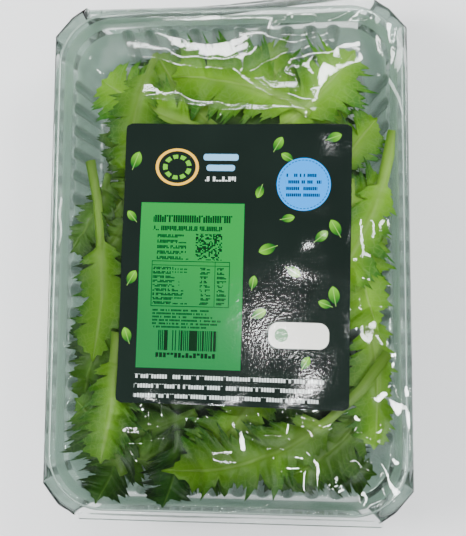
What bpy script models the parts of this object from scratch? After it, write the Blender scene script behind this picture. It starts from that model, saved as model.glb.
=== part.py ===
# Packed frisee salad: a clear ribbed tray of loose leaves in a clear film bag with a label on top.
# X runs across the tray, Y along it and Z up, and the origin is under the bag's middle.
# Every length below is in millimetres and is turned to metres where a mesh is made.
import math
import random

import bmesh
import bpy
import numpy as np

MM = 0.001

# Tray
TRAY_LENGTH = 230.0
TRAY_WIDTH = 160.0
TRAY_HEIGHT = 42.2
TRAY_SHIFT_Y = -3.0
RIM_RADIUS = 25.0
RIM_FLAT = 2.6
LIP_DROP = 3.2
LEDGE_DROP = 8.0
WALL = 0.6
FLOOR_HEIGHT = 0.9
RIB_PITCH = 11.0
RIB_WIDTH = 4.8
RIB_DEPTH = 1.8
RIB_FOOT_DEPTH = 1.3
CORNER_STEPS = 5

# Insets of the tray's inner face from the rim's edge, going down
LEDGE_OUTER = 4.4
LEDGE_INNER = 6.8
WALL_FOOT = 10.4
FLOOR_CURVE = 12.5
FLOOR_EDGE = 14.5

# Film bag
BAG_LENGTH = 256.0
BAG_HALF_WIDTH = 82.6
BAG_END_HALF_WIDTH = 72.0
FILM = 0.6
FILM_FLOOR_HALF_WIDTH = 70.5
SEAL_HEIGHT = 22.0
SEAL_HALF_THICKNESS = 1.2
SEAL_LENGTH = 7.0
FAR_EDGE_SLANT = 4.0

# Label
LABEL_WIDTH = 103.0
LABEL_LENGTH = 127.0
LABEL_THICKNESS = 0.4
LABEL_RADIUS = 2.5
LABEL_CENTRE = (4.0, -4.5)
LABEL_TURN = math.radians(-1.2)

# Leaves
BLADE = 1.0
RIB_RISE = 1.2
CLEARANCE = 0.35
MAX_SLOPE = 0.85
PRESS_STEPS = (0.97, 0.94, 0.90, 0.86, 0.80, 0.72, 0.60)
SETTLE_ROUNDS = 160
SETTLE_STEP = 0.35
SEED = 7


# Clear the scene
for obj in list(bpy.data.objects):
    bpy.data.objects.remove(obj, do_unlink=True)


def makeMaterial(name, colour, roughness, alpha=1.0):
    material = bpy.data.materials.new(name)
    material.use_nodes = True
    shader = material.node_tree.nodes["Principled BSDF"]
    shader.inputs["Base Color"].default_value = (*colour, 1.0)
    shader.inputs["Roughness"].default_value = roughness
    shader.inputs["Metallic"].default_value = 0.0
    shader.inputs["Alpha"].default_value = alpha
    return material


def makeObject(name, points, faces, material):
    """A named object from points in millimetres about the tray's middle."""
    placed = np.asarray(points, dtype=float) + (0.0, TRAY_SHIFT_Y, 0.0)
    mesh = bpy.data.meshes.new(name)
    mesh.from_pydata((placed * MM).tolist(), [], [list(face) for face in faces])
    work = bmesh.new()
    work.from_mesh(mesh)
    bmesh.ops.recalc_face_normals(work, faces=work.faces)
    work.to_mesh(mesh)
    work.free()
    mesh.materials.append(material)
    obj = bpy.data.objects.new(name, mesh)
    bpy.context.collection.objects.link(obj)
    return obj


# Tray: rings of points round a rounded rectangle, stitched from the lip to the floor

def ringPoints(inset, height, ribbed=None):
    """One ring of the tray. Each point has its place along the ring, then x, y and z."""
    halfX, halfY = TRAY_WIDTH / 2, TRAY_LENGTH / 2
    straightX, straightY = halfX - RIM_RADIUS, halfY - RIM_RADIUS
    radius = RIM_RADIUS - inset
    sides = [  # start corner of each straight, its direction and its outward normal
        ((halfX, -straightY), (0, 1), (1, 0), 2 * straightY),
        ((straightX, halfY), (-1, 0), (0, 1), 2 * straightX),
        ((-halfX, straightY), (0, -1), (-1, 0), 2 * straightY),
        ((-straightX, -halfY), (1, 0), (0, -1), 2 * straightX),
    ]
    ring = []
    for number, (start, along, outward, length) in enumerate(sides):
        if ribbed is None:
            marks = [(0.0, 0.0), (0.5, 0.0)]
        else:
            count = int(length / RIB_PITCH)
            marks = [(0.0, 0.0)]
            for rib in range(count):
                middle = length / 2 + (rib - (count - 1) / 2) * RIB_PITCH
                marks.append(((middle - RIB_WIDTH / 2) / length, 0.0))
                marks.append((middle / length, ribbed))
                marks.append(((middle + RIB_WIDTH / 2) / length, 0.0))
        for share, bulge in marks:
            out = bulge - inset
            x = start[0] + along[0] * share * length + outward[0] * out
            y = start[1] + along[1] * share * length + outward[1] * out
            ring.append((2 * number + share, x, y, height))
        centre = (
            start[0] + along[0] * length - outward[0] * RIM_RADIUS,
            start[1] + along[1] * length - outward[1] * RIM_RADIUS,
        )
        startAngle = math.atan2(outward[1], outward[0])
        for step in range(CORNER_STEPS):
            share = step / CORNER_STEPS
            angle = startAngle + share * math.pi / 2
            ring.append((
                2 * number + 1 + share,
                centre[0] + radius * math.cos(angle),
                centre[1] + radius * math.sin(angle),
                height,
            ))
    return ring


def stitch(lower, upper):
    """Triangles between two closed rings, each a list of (place along ring, vertex number)."""
    faces = []
    i = j = 0
    while i < len(lower) or j < len(upper):
        nextLower = lower[i + 1][0] if i + 1 < len(lower) else 8.0
        nextUpper = upper[j + 1][0] if j + 1 < len(upper) else 8.0
        a, b = lower[i % len(lower)][1], upper[j % len(upper)][1]
        if j >= len(upper) or (i < len(lower) and nextLower <= nextUpper):
            faces.append((a, lower[(i + 1) % len(lower)][1], b))
            i += 1
        else:
            faces.append((a, upper[(j + 1) % len(upper)][1], b))
            j += 1
    return faces


def buildTray():
    rimTop = TRAY_HEIGHT
    ledge = TRAY_HEIGHT - LEDGE_DROP
    inner = [  # inset from the rim's edge, height and rib depth, from the lip to the floor
        (0.0, rimTop - LIP_DROP, None),
        (0.0, rimTop - 0.8, None),
        (0.8, rimTop, None),
        (RIM_FLAT, rimTop, None),
        (LEDGE_OUTER, ledge, None),
        (LEDGE_INNER, ledge - 0.8, RIB_DEPTH),
        (WALL_FOOT, 6.0, RIB_FOOT_DEPTH),
        (FLOOR_CURVE, FLOOR_HEIGHT + WALL + 0.8, None),
        (FLOOR_EDGE, FLOOR_HEIGHT + WALL, None),
    ]
    outer = [  # the same going down the outside, a wall's thickness away
        (WALL, rimTop - LIP_DROP, None),
        (WALL + 0.1, rimTop - WALL - 0.3, None),
        (RIM_FLAT - WALL + 0.2, rimTop - WALL - 0.1, None),
        (LEDGE_OUTER - WALL - 0.1, ledge - WALL, None),
        (LEDGE_INNER - WALL, ledge - WALL - 0.8, RIB_DEPTH),
        (WALL_FOOT - WALL, 5.8, RIB_FOOT_DEPTH),
        (FLOOR_CURVE - WALL, FLOOR_HEIGHT + 0.8, None),
        (FLOOR_EDGE - 0.3, FLOOR_HEIGHT, None),
    ]
    points, faces = [], []

    def addRings(profile):
        rings = []
        for inset, height, rib in profile:
            ring = ringPoints(inset, height, rib)
            rings.append([(place, len(points) + k) for k, (place, *_) in enumerate(ring)])
            points.extend(point[1:] for point in ring)
        return rings

    innerRings, outerRings = addRings(inner), addRings(outer)
    for rings in (innerRings, outerRings):
        for upper, lower in zip(rings, rings[1:]):
            faces.extend(stitch(upper, lower))
    faces.extend(stitch(innerRings[0], outerRings[0]))
    for rings, flip in ((innerRings, False), (outerRings, True)):
        cap = [number for _, number in rings[-1]]
        faces.append(cap[::-1] if flip else cap)
    makeObject("tray", points, faces, makeMaterial("trayPlastic", (0.60, 0.66, 0.63), 0.12, 0.35))


# Heights that things rest on, on a grid of one millimetre cells about the tray's middle

class Pile:
    def __init__(self):
        self.halfX, self.halfY = 90, 135
        x = np.arange(-self.halfX, self.halfX + 1, dtype=float)
        y = np.arange(-self.halfY, self.halfY + 1, dtype=float)
        self.x, self.y = np.meshgrid(x, y, indexing="ij")
        depth = -rimDistance(self.x, self.y)
        ledge = TRAY_HEIGHT - LEDGE_DROP
        floor = FLOOR_HEIGHT + WALL
        wallInset = [-2.0, 0.0, RIM_FLAT, LEDGE_OUTER, LEDGE_INNER, WALL_FOOT, FLOOR_CURVE, FLOOR_EDGE]
        wallHeight = [-50.0, TRAY_HEIGHT, TRAY_HEIGHT, ledge, ledge - 0.8, 6.0, floor + 0.8, floor]
        self.height = np.interp(depth, wallInset, wallHeight)

    def cells(self, xy):
        column = np.clip(np.round(xy[:, 0]).astype(int) + self.halfX, 1, 2 * self.halfX - 1)
        row = np.clip(np.round(xy[:, 1]).astype(int) + self.halfY, 1, 2 * self.halfY - 1)
        return column, row

    def reading(self):
        """The grid with each cell raised to the highest of its neighbours."""
        padded = np.pad(self.height, 1, mode="edge")
        shape = self.height.shape
        layers = [padded[i:i + shape[0], j:j + shape[1]] for i in range(3) for j in range(3)]
        return np.max(layers, axis=0)

    def add(self, xy, z):
        column, row = self.cells(xy)
        np.maximum.at(self.height, (column, row), z)


def rimDistance(x, y, inset=0.0):
    """Signed distance from the rim's edge, moved in by inset: below zero inside."""
    radius = RIM_RADIUS - inset
    qx = np.abs(x) - (TRAY_WIDTH / 2 - RIM_RADIUS)
    qy = np.abs(y) - (TRAY_LENGTH / 2 - RIM_RADIUS)
    outside = np.hypot(np.maximum(qx, 0), np.maximum(qy, 0))
    return outside + np.minimum(np.maximum(qx, qy), 0) - radius


def samplePoints(xy, triangles, spacing=0.7):
    """Points spread over each triangle: the triangle's number and the three shares."""
    numbers, shares = [], []
    for number, corners in enumerate(triangles):
        a, b, c = (xy[k] for k in corners)
        size = max(np.hypot(*(b - a)), np.hypot(*(c - b)), np.hypot(*(a - c)))
        steps = max(2, int(math.ceil(size / spacing)))
        i, j = np.meshgrid(np.arange(steps + 1), np.arange(steps + 1), indexing="ij")
        keep = i + j <= steps
        i, j = i[keep] / steps, j[keep] / steps
        shares.append(np.stack([1 - i - j, i, j], 1))
        numbers.append(np.full(len(i), number))
    return np.concatenate(numbers), np.concatenate(shares)


def settle(pile, xy, triangles, wanted, pressed=1.0, gap=CLEARANCE, edges=None):
    """Heights of a sheet let down on the pile: as wanted, but raised where it would cross it."""
    triangles = np.asarray(triangles)
    numbers, shares = samplePoints(xy, triangles)
    corners = triangles[numbers]
    places = (xy[corners] * shares[:, :, None]).sum(1)
    column, row = pile.cells(places)
    below = pile.reading()[column, row] + gap
    z = wanted.copy()
    if pressed < 1.0:
        z += np.quantile(below - (z[corners] * shares).sum(1), pressed)
    weight = (shares ** 2).sum(1)
    for _ in range(SETTLE_ROUNDS):
        need = below - (z[corners] * shares).sum(1)
        if need.max() < 0.005:
            break
        wanting = need > 0
        rise = np.zeros_like(z)
        step = need[wanting, None] * shares[wanting] / weight[wanting, None]
        np.maximum.at(rise, corners[wanting].ravel(), step.ravel())
        z += rise * SETTLE_STEP
        if edges is not None:
            for _ in range(3):
                for a, b in ((edges[:, 0], edges[:, 1]), (edges[:, 1], edges[:, 0])):
                    reach = np.hypot(*(xy[a] - xy[b]).T) * MAX_SLOPE
                    np.maximum.at(z, b, z[a] - reach)
    need = below - (z[corners] * shares).sum(1)
    return z + max(need.max(), 0.0), corners, shares, places


# Leaves: one thin blade each, with a thicker rib along it and forked lobes on both sides

def leafPlan(base, tip, bow, halfWidth, ribWidth, lobes, bare, forked, draw):
    """The leaf seen from above: points, triangles, thickness and place across each point."""
    base, tip = np.array(base, float), np.array(tip, float)
    chord = tip - base
    length = np.hypot(*chord)
    across = np.array([-chord[1], chord[0]]) / length
    control = (base + tip) / 2 + across * bow * length * 2

    def spine(t):
        point = (1 - t) ** 2 * base + 2 * t * (1 - t) * control + t * t * tip
        way = 2 * (1 - t) * (control - base) + 2 * t * (tip - control)
        return point, way / np.hypot(*way)

    points, thick, out, triangles, outline = [], [], [], [], {1: [], -1: []}

    def put(point, thickness, outward):
        points.append(point)
        thick.append(thickness)
        out.append(outward)
        return len(points) - 1

    def turned(sign, triangle):
        a, b, c = triangle
        triangles.append((a, b, c) if sign > 0 else (a, c, b))

    stations = [0.0] + [bare + (0.90 - bare) * k / lobes for k in range(lobes + 1)]
    middle, edge = [], {1: [], -1: []}
    for t in stations:
        point, way = spine(t)
        side = np.array([-way[1], way[0]])
        half = ribWidth / 2 * (1 - 0.72 * t)
        middle.append(put(point, BLADE + RIB_RISE * (1 - 0.7 * t), 0.0))
        for sign in (1, -1):
            edge[sign].append(put(point + side * half * sign, BLADE, 0.05))
    for k in range(len(stations) - 1):
        for sign in (1, -1):
            a, b = edge[sign][k], edge[sign][k + 1]
            turned(sign, (middle[k], middle[k + 1], b))
            turned(sign, (middle[k], b, a))

    def envelope(t):
        return math.sin(math.pi * min(1.0, 0.16 + 0.62 * t)) ** 0.8

    def beside(t, sign, reach):
        """A point out from the rib, leaning towards the tip."""
        point, way = spine(t)
        side = np.array([-way[1], way[0]]) * sign
        return point + side * reach + way * reach * 0.5

    last = {}
    for sign in (1, -1):
        previous = edge[sign][1]
        for k in range(lobes):
            t0, t1 = stations[k + 1], stations[k + 2]
            step = t1 - t0
            reach = halfWidth * envelope((t0 + step / 2 - bare) / (0.9 - bare)) * draw.uniform(0.80, 1.15)
            cut = 0.27 if k < lobes - 1 else 0.10
            notch = put(beside(t1, sign, ribWidth * 0.3 + cut * reach), BLADE, 0.3)
            heart = put(beside(t0 + 0.5 * step, sign, 0.45 * reach), BLADE, 0.5)
            ring = [previous]
            if forked:
                ring.append(put(beside(t0 + 0.10 * step, sign, 0.80 * reach), BLADE, 0.8))
                ring.append(put(beside(t0 + 0.38 * step, sign, 0.60 * reach), BLADE, 0.65))
            ring.append(put(beside(t0 + 0.60 * step, sign, reach), BLADE, 1.0))
            ring.append(notch)
            for a, b in zip(ring, ring[1:]):
                turned(-sign, (heart, a, b))
            if k > 0:
                turned(-sign, (heart, edge[sign][k + 1], previous))
            turned(-sign, (heart, edge[sign][k + 2], edge[sign][k + 1]))
            turned(-sign, (heart, notch, edge[sign][k + 2]))
            previous = notch
        last[sign] = previous

    heart = put(spine(0.95)[0], BLADE, 0.2)
    point, way = spine(1.0)
    ring = [last[1], put(beside(0.94, 1, 0.22 * halfWidth), BLADE, 0.7)]
    ring += [put(beside(0.985, 1, 0.07 * halfWidth), BLADE, 0.6), put(point + way * 4.0, BLADE, 1.0)]
    ring += [put(beside(0.95, -1, 0.19 * halfWidth), BLADE, 0.7), last[-1]]
    top = len(stations) - 1
    ring += [edge[-1][top], middle[top], edge[1][top], last[1]]
    for a, b in zip(ring, ring[1:]):
        turned(-1, (heart, a, b))
    return np.array(points), triangles, np.array(thick), np.array(out)


def signedAreas(xy, triangles):
    a, b, c = (xy[[t[k] for t in triangles]] for k in range(3))
    return (b[:, 0] - a[:, 0]) * (c[:, 1] - a[:, 1]) - (b[:, 1] - a[:, 1]) * (c[:, 0] - a[:, 0])


def meshEdges(triangles):
    return np.array(sorted({tuple(sorted(e)) for t in triangles for e in zip(t, t[1:] + t[:1])}))


def borderEdges(triangles):
    seen = {}
    for t in triangles:
        for a, b in ((t[0], t[1]), (t[1], t[2]), (t[2], t[0])):
            if (b, a) in seen:
                del seen[(b, a)]
            else:
                seen[(a, b)] = True
    return list(seen)


def outlineCrosses(xy, border):
    """Whether any two stretches of the outline cross each other."""
    a, b = xy[[e[0] for e in border]], xy[[e[1] for e in border]]

    def turn(p, q, r):
        first = (q[..., 0] - p[..., 0]) * (r[..., 1] - p[..., 1])
        return first - (q[..., 1] - p[..., 1]) * (r[..., 0] - p[..., 0])

    a1, b1, a2, b2 = a[:, None], b[:, None], a[None], b[None]
    hit = (turn(a1, b1, a2) * turn(a1, b1, b2) < 0) & (turn(a2, b2, a1) * turn(a2, b2, b1) < 0)
    return bool(hit.any())


def keepInside(xy, inset, softness=5.0):
    """Points eased inward so that they stay inside the rim's outline moved in by inset."""
    moved = xy.copy()
    for _ in range(2):
        distance = rimDistance(moved[:, 0], moved[:, 1]) + inset
        over = distance > -softness
        wanted = -softness * np.exp(-(np.maximum(distance, -softness) + softness) / softness)
        step = 0.01
        x, y = moved[:, 0], moved[:, 1]
        gradX = rimDistance(x + step, y) - rimDistance(x - step, y)
        gradY = rimDistance(x, y + step) - rimDistance(x, y - step)
        gradient = np.stack([gradX, gradY], 1) / (2 * step)
        moved += np.where(over, wanted - distance, 0.0)[:, None] * gradient
        softness *= 0.5
    return moved


def plannedLeaf(spec, draw):
    """A leaf's plan, made a little smaller until no lobe crosses another."""
    state = draw.getstate()
    size = 1.0
    while True:
        draw.setstate(state)
        xy, triangles, thick, out = leafPlan(
            spec["base"], spec["tip"], spec["bow"], spec["half"] * size, spec["rib"],
            spec["lobes"], spec["bare"], spec["forked"], draw)
        xy = keepInside(xy, spec["inset"])
        border = borderEdges(triangles)
        if (signedAreas(xy, triangles).min() > 0.05 and not outlineCrosses(xy, border)) or size < 0.4:
            return xy, triangles, thick, out, border
        size *= 0.94


def buildLeaf(name, spec, pile, draw, colour):
    xy, triangles, thick, out, border = plannedLeaf(spec, draw)
    base, tip = np.array(spec["base"]), np.array(spec["tip"])
    chord = tip - base
    along = np.clip(((xy - base) @ chord) / (chord @ chord), 0.0, 1.0)
    phase = draw.uniform(0, 6.28)
    wave = np.sin(along * 15 + phase) * out ** 1.5
    wanted = spec["arch"] * 4 * along * (1 - along) - spec["droop"] * out ** 2 + spec["wave"] * wave
    edges = meshEdges(triangles)
    for pressed in PRESS_STEPS:
        z, corners, shares, places = settle(pile, xy, triangles, wanted, pressed, edges=edges)
        top = z + thick
        if top.max() < spec["ceiling"]:
            break
    pile.add(places, (top[corners] * shares).sum(1))
    count = len(xy)
    points = np.concatenate([np.column_stack([xy, top]), np.column_stack([xy, z])])
    faces = [tuple(t) for t in triangles]
    faces += [(t[0] + count, t[2] + count, t[1] + count) for t in triangles]
    for a, b in border:
        faces += [(b, a, a + count), (b, a + count, b + count)]
    material = makeMaterial(name, colour, 0.45)
    makeObject(name, points, faces, material)
    return top.max()


# Where each leaf lies. The lower layers fill the tray by a rule, and the top layer is set by hand.

def fillLeaves(layer, inset, arch, draw):
    """Seven leaves of one lower layer: two columns of three, and one across the middle."""
    specs = []
    for k in range(7):
        if k < 6:
            column = (34, 26, 30)[layer] * (-1, 1)[k % 2]
            middle = (column + draw.uniform(-5, 5), -68 + 68 * (k // 2) + draw.uniform(-6, 6))
            centre = np.array(middle)
            angle = math.radians(draw.uniform(-30, 30) + 180 * ((k + layer) % 2))
        else:
            centre = np.array([draw.uniform(-6, 6), (-45, 45, 64)[layer]])
            angle = math.radians(draw.uniform(60, 120) + 180 * (layer % 2))
        way = np.array([math.sin(angle), math.cos(angle)])
        length = draw.uniform(80, 92)
        specs.append(dict(
            base=tuple(centre - way * length / 2), tip=tuple(centre + way * length / 2),
            bow=draw.uniform(-0.08, 0.08), half=draw.uniform(26, 30), rib=4.2, lobes=5, bare=0.14,
            forked=False, inset=inset, arch=arch * draw.uniform(0.85, 1.15), droop=draw.uniform(2, 5),
            wave=3.0, ceiling=(15.0, 27.0, 38.0)[layer]))
    return specs


def topLeaf(base, tip, bow, half, rib=3.4, lobes=6, bare=0.12, inset=5.2, arch=6.5, droop=1.5, wave=1.8,
            ceiling=43.0):
    return dict(base=base, tip=tip, bow=bow, half=half, rib=rib, lobes=lobes, bare=bare, forked=True,
                inset=inset, arch=arch, droop=droop, wave=wave, ceiling=ceiling)


topLeaves = [
    topLeaf((15, -96), (66, -99), 0.02, 15),
    topLeaf((-60, -92), (4, -100), 0.03, 17),
    topLeaf((-22, -80), (-27, -112), 0.05, 12, lobes=4, inset=0.9, arch=1.0),
    topLeaf((-46, -78), (-57, -111), 0.04, 12, lobes=4, inset=0.9, arch=1.0),
    topLeaf((20, -50), (-8, -92), 0.04, 17, rib=4.4),
    topLeaf((66, -64), (30, -98), 0.08, 16),
    topLeaf((62, -22), (66, -84), 0.05, 19, inset=3.0),
    topLeaf((72, -44), (-24, -98), 0.13, 17, rib=4.6, lobes=7, bare=0.34),
    topLeaf((56, 34), (67, -32), -0.03, 23, inset=3.0),
    topLeaf((76, 56), (48, -14), 0.06, 17, rib=5.4, bare=0.3, inset=3.0),
    topLeaf((22, 56), (66, 92), -0.05, 21),
    topLeaf((38, 64), (-24, 84), -0.08, 21),
    topLeaf((-8, 58), (-60, 84), 0.06, 20),
    topLeaf((-48, 92), (-60, 38), -0.05, 15),
    topLeaf((-56, 38), (-72, 2), 0.05, 13, lobes=5),
    topLeaf((-48, -26), (-68, -68), -0.06, 19),
    topLeaf((-64, 44), (-61, -46), 0.05, 15, rib=4.4, bare=0.42),
    topLeaf((-46, -100), (-70, -68), -0.08, 15, rib=3.8),
    topLeaf((-50, -36), (-55, -92), 0.02, 15, rib=6.0, bare=0.2),
]


def buildLeaves(pile):
    draw = random.Random(SEED)
    specs = []
    for layer, (inset, arch) in enumerate(((13.5, 16.0), (11.5, 15.0), (10.0, 12.0))):
        specs += fillLeaves(layer, inset, arch, draw)
    specs += topLeaves
    for number, spec in enumerate(specs, start=1):
        shade = draw.uniform(0.8, 1.15)
        colour = (0.20 * shade, 0.42 * shade, 0.035 * shade)
        highest = buildLeaf("leaf_%02d" % number, spec, pile, draw, colour)
        print("leaf", number, "top", round(highest, 1))


# Film bag: closed sections from the near end to the far end, with a slit left at the far end

def filmStations():
    """Each section: y, half widths at the floor, wall and rim, and heights of floor, rim and top."""
    near = -BAG_LENGTH / 2 - TRAY_SHIFT_Y
    far = BAG_LENGTH / 2 - FAR_EDGE_SLANT - TRAY_SHIFT_Y
    seal = SEAL_HEIGHT
    full = (FILM_FLOOR_HALF_WIDTH, 73.4, BAG_HALF_WIDTH, 0.0, 5.0, 39.4, 43.2)
    closing = (66.0, 69.0, 75.0, 7.0, 12.0, 38.6, 43.2)
    edge = (63.0, 65.0, 68.0, 13.0, 17.0, 37.0, 43.0)
    half = SEAL_HALF_THICKNESS
    flat = (71.0, 71.6, BAG_END_HALF_WIDTH, seal - half, seal - 0.3, seal + 0.3, seal + half)
    ys = np.linspace(-103.5, 103.5, 15)
    sections = [(near, flat), (near + SEAL_LENGTH - 3.0, flat), (-117.4, edge), (-112.5, closing)]
    sections += [(float(y), full) for y in ys]
    sections += [(112.5, closing), (117.4, edge), (far - SEAL_LENGTH, flat), (far, flat)]
    return sections


def filmRing(section, inward):
    """Points of one section, from the middle of the floor up the right side and over."""
    floor, wall, rim, zFloor, zWall, zRim, zTop = section
    thin = min(inward, (zTop - zFloor) / 2 - 0.2)
    floor, wall, rim = floor - thin, wall - thin, rim - thin
    zFloor, zTop = zFloor + thin, zTop - thin
    zWall, zRim = min(max(zWall, zFloor), zTop), max(min(zRim, zTop), zFloor)
    shoulder = rim - 1.0
    right = [(floor, zFloor), (wall, zWall), (rim, zRim), (shoulder, zTop)]
    over = [(shoulder * (1 - k / 4), zTop) for k in range(1, 8)]
    left = [(-x, z) for x, z in reversed(right)]
    return [(0.0, zFloor)] + right + over + left


def buildFilm(pile):
    sections = filmStations()
    outer = []
    inner = []
    for y, section in sections:
        slant = FAR_EDGE_SLANT if y > 117.5 else 0.0
        for target, inward in ((outer, 0.0), (inner, FILM)):
            ring = filmRing(section, inward)
            target.append([(x, y + slant * x / BAG_END_HALF_WIDTH, z) for x, z in ring])
    inner = inner[1:]
    count = len(outer[0])

    # the top between the rims is lifted clear of the leaves, both skins alike
    topFirst, topLast = 4, 12
    first, last = 2, len(outer) - 3
    cells = [(s, k) for s in range(first, last + 1) for k in range(topFirst, topLast + 1)]
    number = {cell: n for n, cell in enumerate(cells)}
    xy = np.array([inner[s - 1][k][:2] for s, k in cells])
    z = np.array([inner[s - 1][k][2] for s, k in cells])
    triangles = []
    for s in range(first, last):
        for k in range(topFirst, topLast):
            a, b, c, d = number[s, k], number[s + 1, k], number[s + 1, k + 1], number[s, k + 1]
            triangles += [(a, b, c), (a, c, d)]
    edges = meshEdges(triangles)
    settled, corners, shares, places = settle(pile, xy, triangles, z, edges=edges)
    for _ in range(3):
        smooth = settled.copy()
        for cell, n in number.items():
            s, k = cell
            if first < s < last and topFirst < k < topLast:
                around = [number[s - 1, k], number[s + 1, k], number[s, k - 1], number[s, k + 1]]
                smooth[n] = 0.4 * settled[n] + 0.6 * np.mean(settled[around])
        settled = settle(pile, xy, triangles, smooth, edges=edges)[0]
    print("film top", round(settled.max(), 1), "rise", round((settled - z).max(), 1))
    for (s, k), n in number.items():
        rise = settled[n] - z[n]
        x, y, height = inner[s - 1][k]
        inner[s - 1][k] = (x, y, height + rise)
        x, y, height = outer[s][k]
        outer[s][k] = (x, y, height + rise)
    pile.add(places, (settled[corners] * shares).sum(1) + FILM)

    points = [point for ring in outer + inner for point in ring]
    faces = []

    def skin(offset, rings, turned):
        for s in range(rings - 1):
            for k in range(count):
                a, b = offset + s * count + k, offset + s * count + (k + 1) % count
                c, d = b + count, a + count
                quad = [(a, b, c), (a, c, d)]
                faces.extend((t[0], t[2], t[1]) if turned else t for t in quad)

    skin(0, len(outer), False)
    start = len(outer) * count
    skin(start, len(inner), True)
    faces.append(list(range(count))[::-1])
    faces.append([start + k for k in range(count)])
    lastOuter, lastInner = (len(outer) - 1) * count, start + (len(inner) - 1) * count
    for k in range(count):
        after = (k + 1) % count
        faces.append((lastOuter + k, lastInner + k, lastInner + after))
        faces.append((lastOuter + k, lastInner + after, lastOuter + after))
    makeObject("film_bag", points, faces, makeMaterial("filmPlastic", (0.93, 0.95, 0.94), 0.08, 0.12))


# Label: a rounded rectangle that follows the film's top

def buildLabel(pile):
    across, along = 8, 10
    halfX, halfY = LABEL_WIDTH / 2, LABEL_LENGTH / 2
    xs = [-halfX, -halfX + LABEL_RADIUS, *np.linspace(-halfX, halfX, across + 1)[1:-1],
          halfX - LABEL_RADIUS, halfX]
    ys = [-halfY, -halfY + LABEL_RADIUS, *np.linspace(-halfY, halfY, along + 1)[1:-1],
          halfY - LABEL_RADIUS, halfY]
    flat, number, triangles = [], {}, []
    cut = LABEL_RADIUS * (1 - math.sqrt(0.5))
    for i, x in enumerate(xs):
        for j, y in enumerate(ys):
            if i in (0, len(xs) - 1) and j in (0, len(ys) - 1):
                x0, y0 = x - math.copysign(cut, x), y - math.copysign(cut, y)
            else:
                x0, y0 = x, y
            number[i, j] = len(flat)
            flat.append((x0, y0))
    for i in range(len(xs) - 1):
        for j in range(len(ys) - 1):
            a, b, c, d = number[i, j], number[i + 1, j], number[i + 1, j + 1], number[i, j + 1]
            if (i == 0) == (j == 0):
                triangles += [(a, b, c), (a, c, d)]
            else:
                triangles += [(a, b, d), (b, c, d)]
    flat = np.array(flat)
    cos, sin = math.cos(LABEL_TURN), math.sin(LABEL_TURN)
    turn = np.array([[cos, -sin], [sin, cos]])
    xy = flat @ turn.T + LABEL_CENTRE
    edges = meshEdges(triangles)
    z = settle(pile, xy, triangles, np.full(len(xy), TRAY_HEIGHT), gap=0.3, edges=edges)[0]
    print("label", round(z.min(), 1), round(z.max(), 1))
    count = len(xy)
    points = np.concatenate([np.column_stack([xy, z + LABEL_THICKNESS]), np.column_stack([xy, z])])
    faces = [tuple(t) for t in triangles]
    faces += [(t[0] + count, t[2] + count, t[1] + count) for t in triangles]
    for a, b in borderEdges(triangles):
        faces += [(b, a, a + count), (b, a + count, b + count)]
    makeObject("label", points, faces, makeMaterial("labelPrint", (0.012, 0.02, 0.016), 0.3))


def main():
    pile = Pile()
    buildTray()
    buildLeaves(pile)
    buildFilm(pile)
    buildLabel(pile)
    total = 0
    for obj in bpy.data.objects:
        obj.data.calc_loop_triangles()
        total += len(obj.data.loop_triangles)
    print("triangles", total)


main()
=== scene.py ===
import math
import random

import bmesh
import bpy
import numpy as np
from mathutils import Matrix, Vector
from mathutils.bvhtree import BVHTree


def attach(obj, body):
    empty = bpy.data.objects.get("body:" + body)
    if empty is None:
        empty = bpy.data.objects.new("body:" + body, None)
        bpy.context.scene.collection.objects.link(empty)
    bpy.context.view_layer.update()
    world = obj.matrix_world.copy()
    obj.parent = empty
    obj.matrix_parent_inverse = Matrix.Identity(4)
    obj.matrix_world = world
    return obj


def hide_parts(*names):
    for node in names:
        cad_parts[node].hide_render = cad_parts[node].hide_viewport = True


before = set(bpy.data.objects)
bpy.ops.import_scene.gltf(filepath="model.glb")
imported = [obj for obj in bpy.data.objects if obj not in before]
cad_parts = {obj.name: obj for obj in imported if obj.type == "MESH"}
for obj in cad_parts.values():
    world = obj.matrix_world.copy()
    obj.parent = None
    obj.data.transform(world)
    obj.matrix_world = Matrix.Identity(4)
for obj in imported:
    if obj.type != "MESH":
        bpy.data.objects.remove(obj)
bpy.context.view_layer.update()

# Packed frisee salad: fine leaves, tray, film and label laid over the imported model.
# Lengths are millimetres about the tray's middle and become metres where a mesh is made.
mm = 0.001
trayShiftY = -3.0

camera = {
    "place": (23.9, -32.0, 327.0),
    "turn": (4.5, 4.14, 0.36),      # degrees about X, Y and Z
    "focal": 633.0,                 # in pixels of the 466 x 536 picture
    "longSide": 536.0,
}


def addCamera():
    data = bpy.data.cameras.new("camera")
    data.sensor_width = 36.0
    data.lens = camera["focal"] * data.sensor_width / camera["longSide"]
    data.clip_start = 0.01
    eye = bpy.data.objects.new("camera", data)
    eye.location = [value * mm for value in camera["place"]]
    eye.rotation_euler = [math.radians(value) for value in camera["turn"]]
    bpy.context.scene.collection.objects.link(eye)
    bpy.context.scene.camera = eye


addCamera()
print("camera placed")


# Node trees: sockets that add, multiply and compare like numbers

class Wire:
    def __init__(self, nodes, socket):
        self.nodes, self.socket = nodes, socket

    def __add__(self, other):
        return self.nodes.math("ADD", self, other)

    def __sub__(self, other):
        return self.nodes.math("SUBTRACT", self, other)

    def __rsub__(self, other):
        return self.nodes.math("SUBTRACT", other, self)

    def __mul__(self, other):
        return self.nodes.math("MULTIPLY", self, other)

    def __truediv__(self, other):
        return self.nodes.math("DIVIDE", self, other)

    def __abs__(self):
        return self.nodes.math("ABSOLUTE", self)

    def __lt__(self, other):
        return self.nodes.math("LESS_THAN", self, other)

    def __gt__(self, other):
        return self.nodes.math("GREATER_THAN", self, other)

    __radd__, __rmul__ = __add__, __mul__


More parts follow.
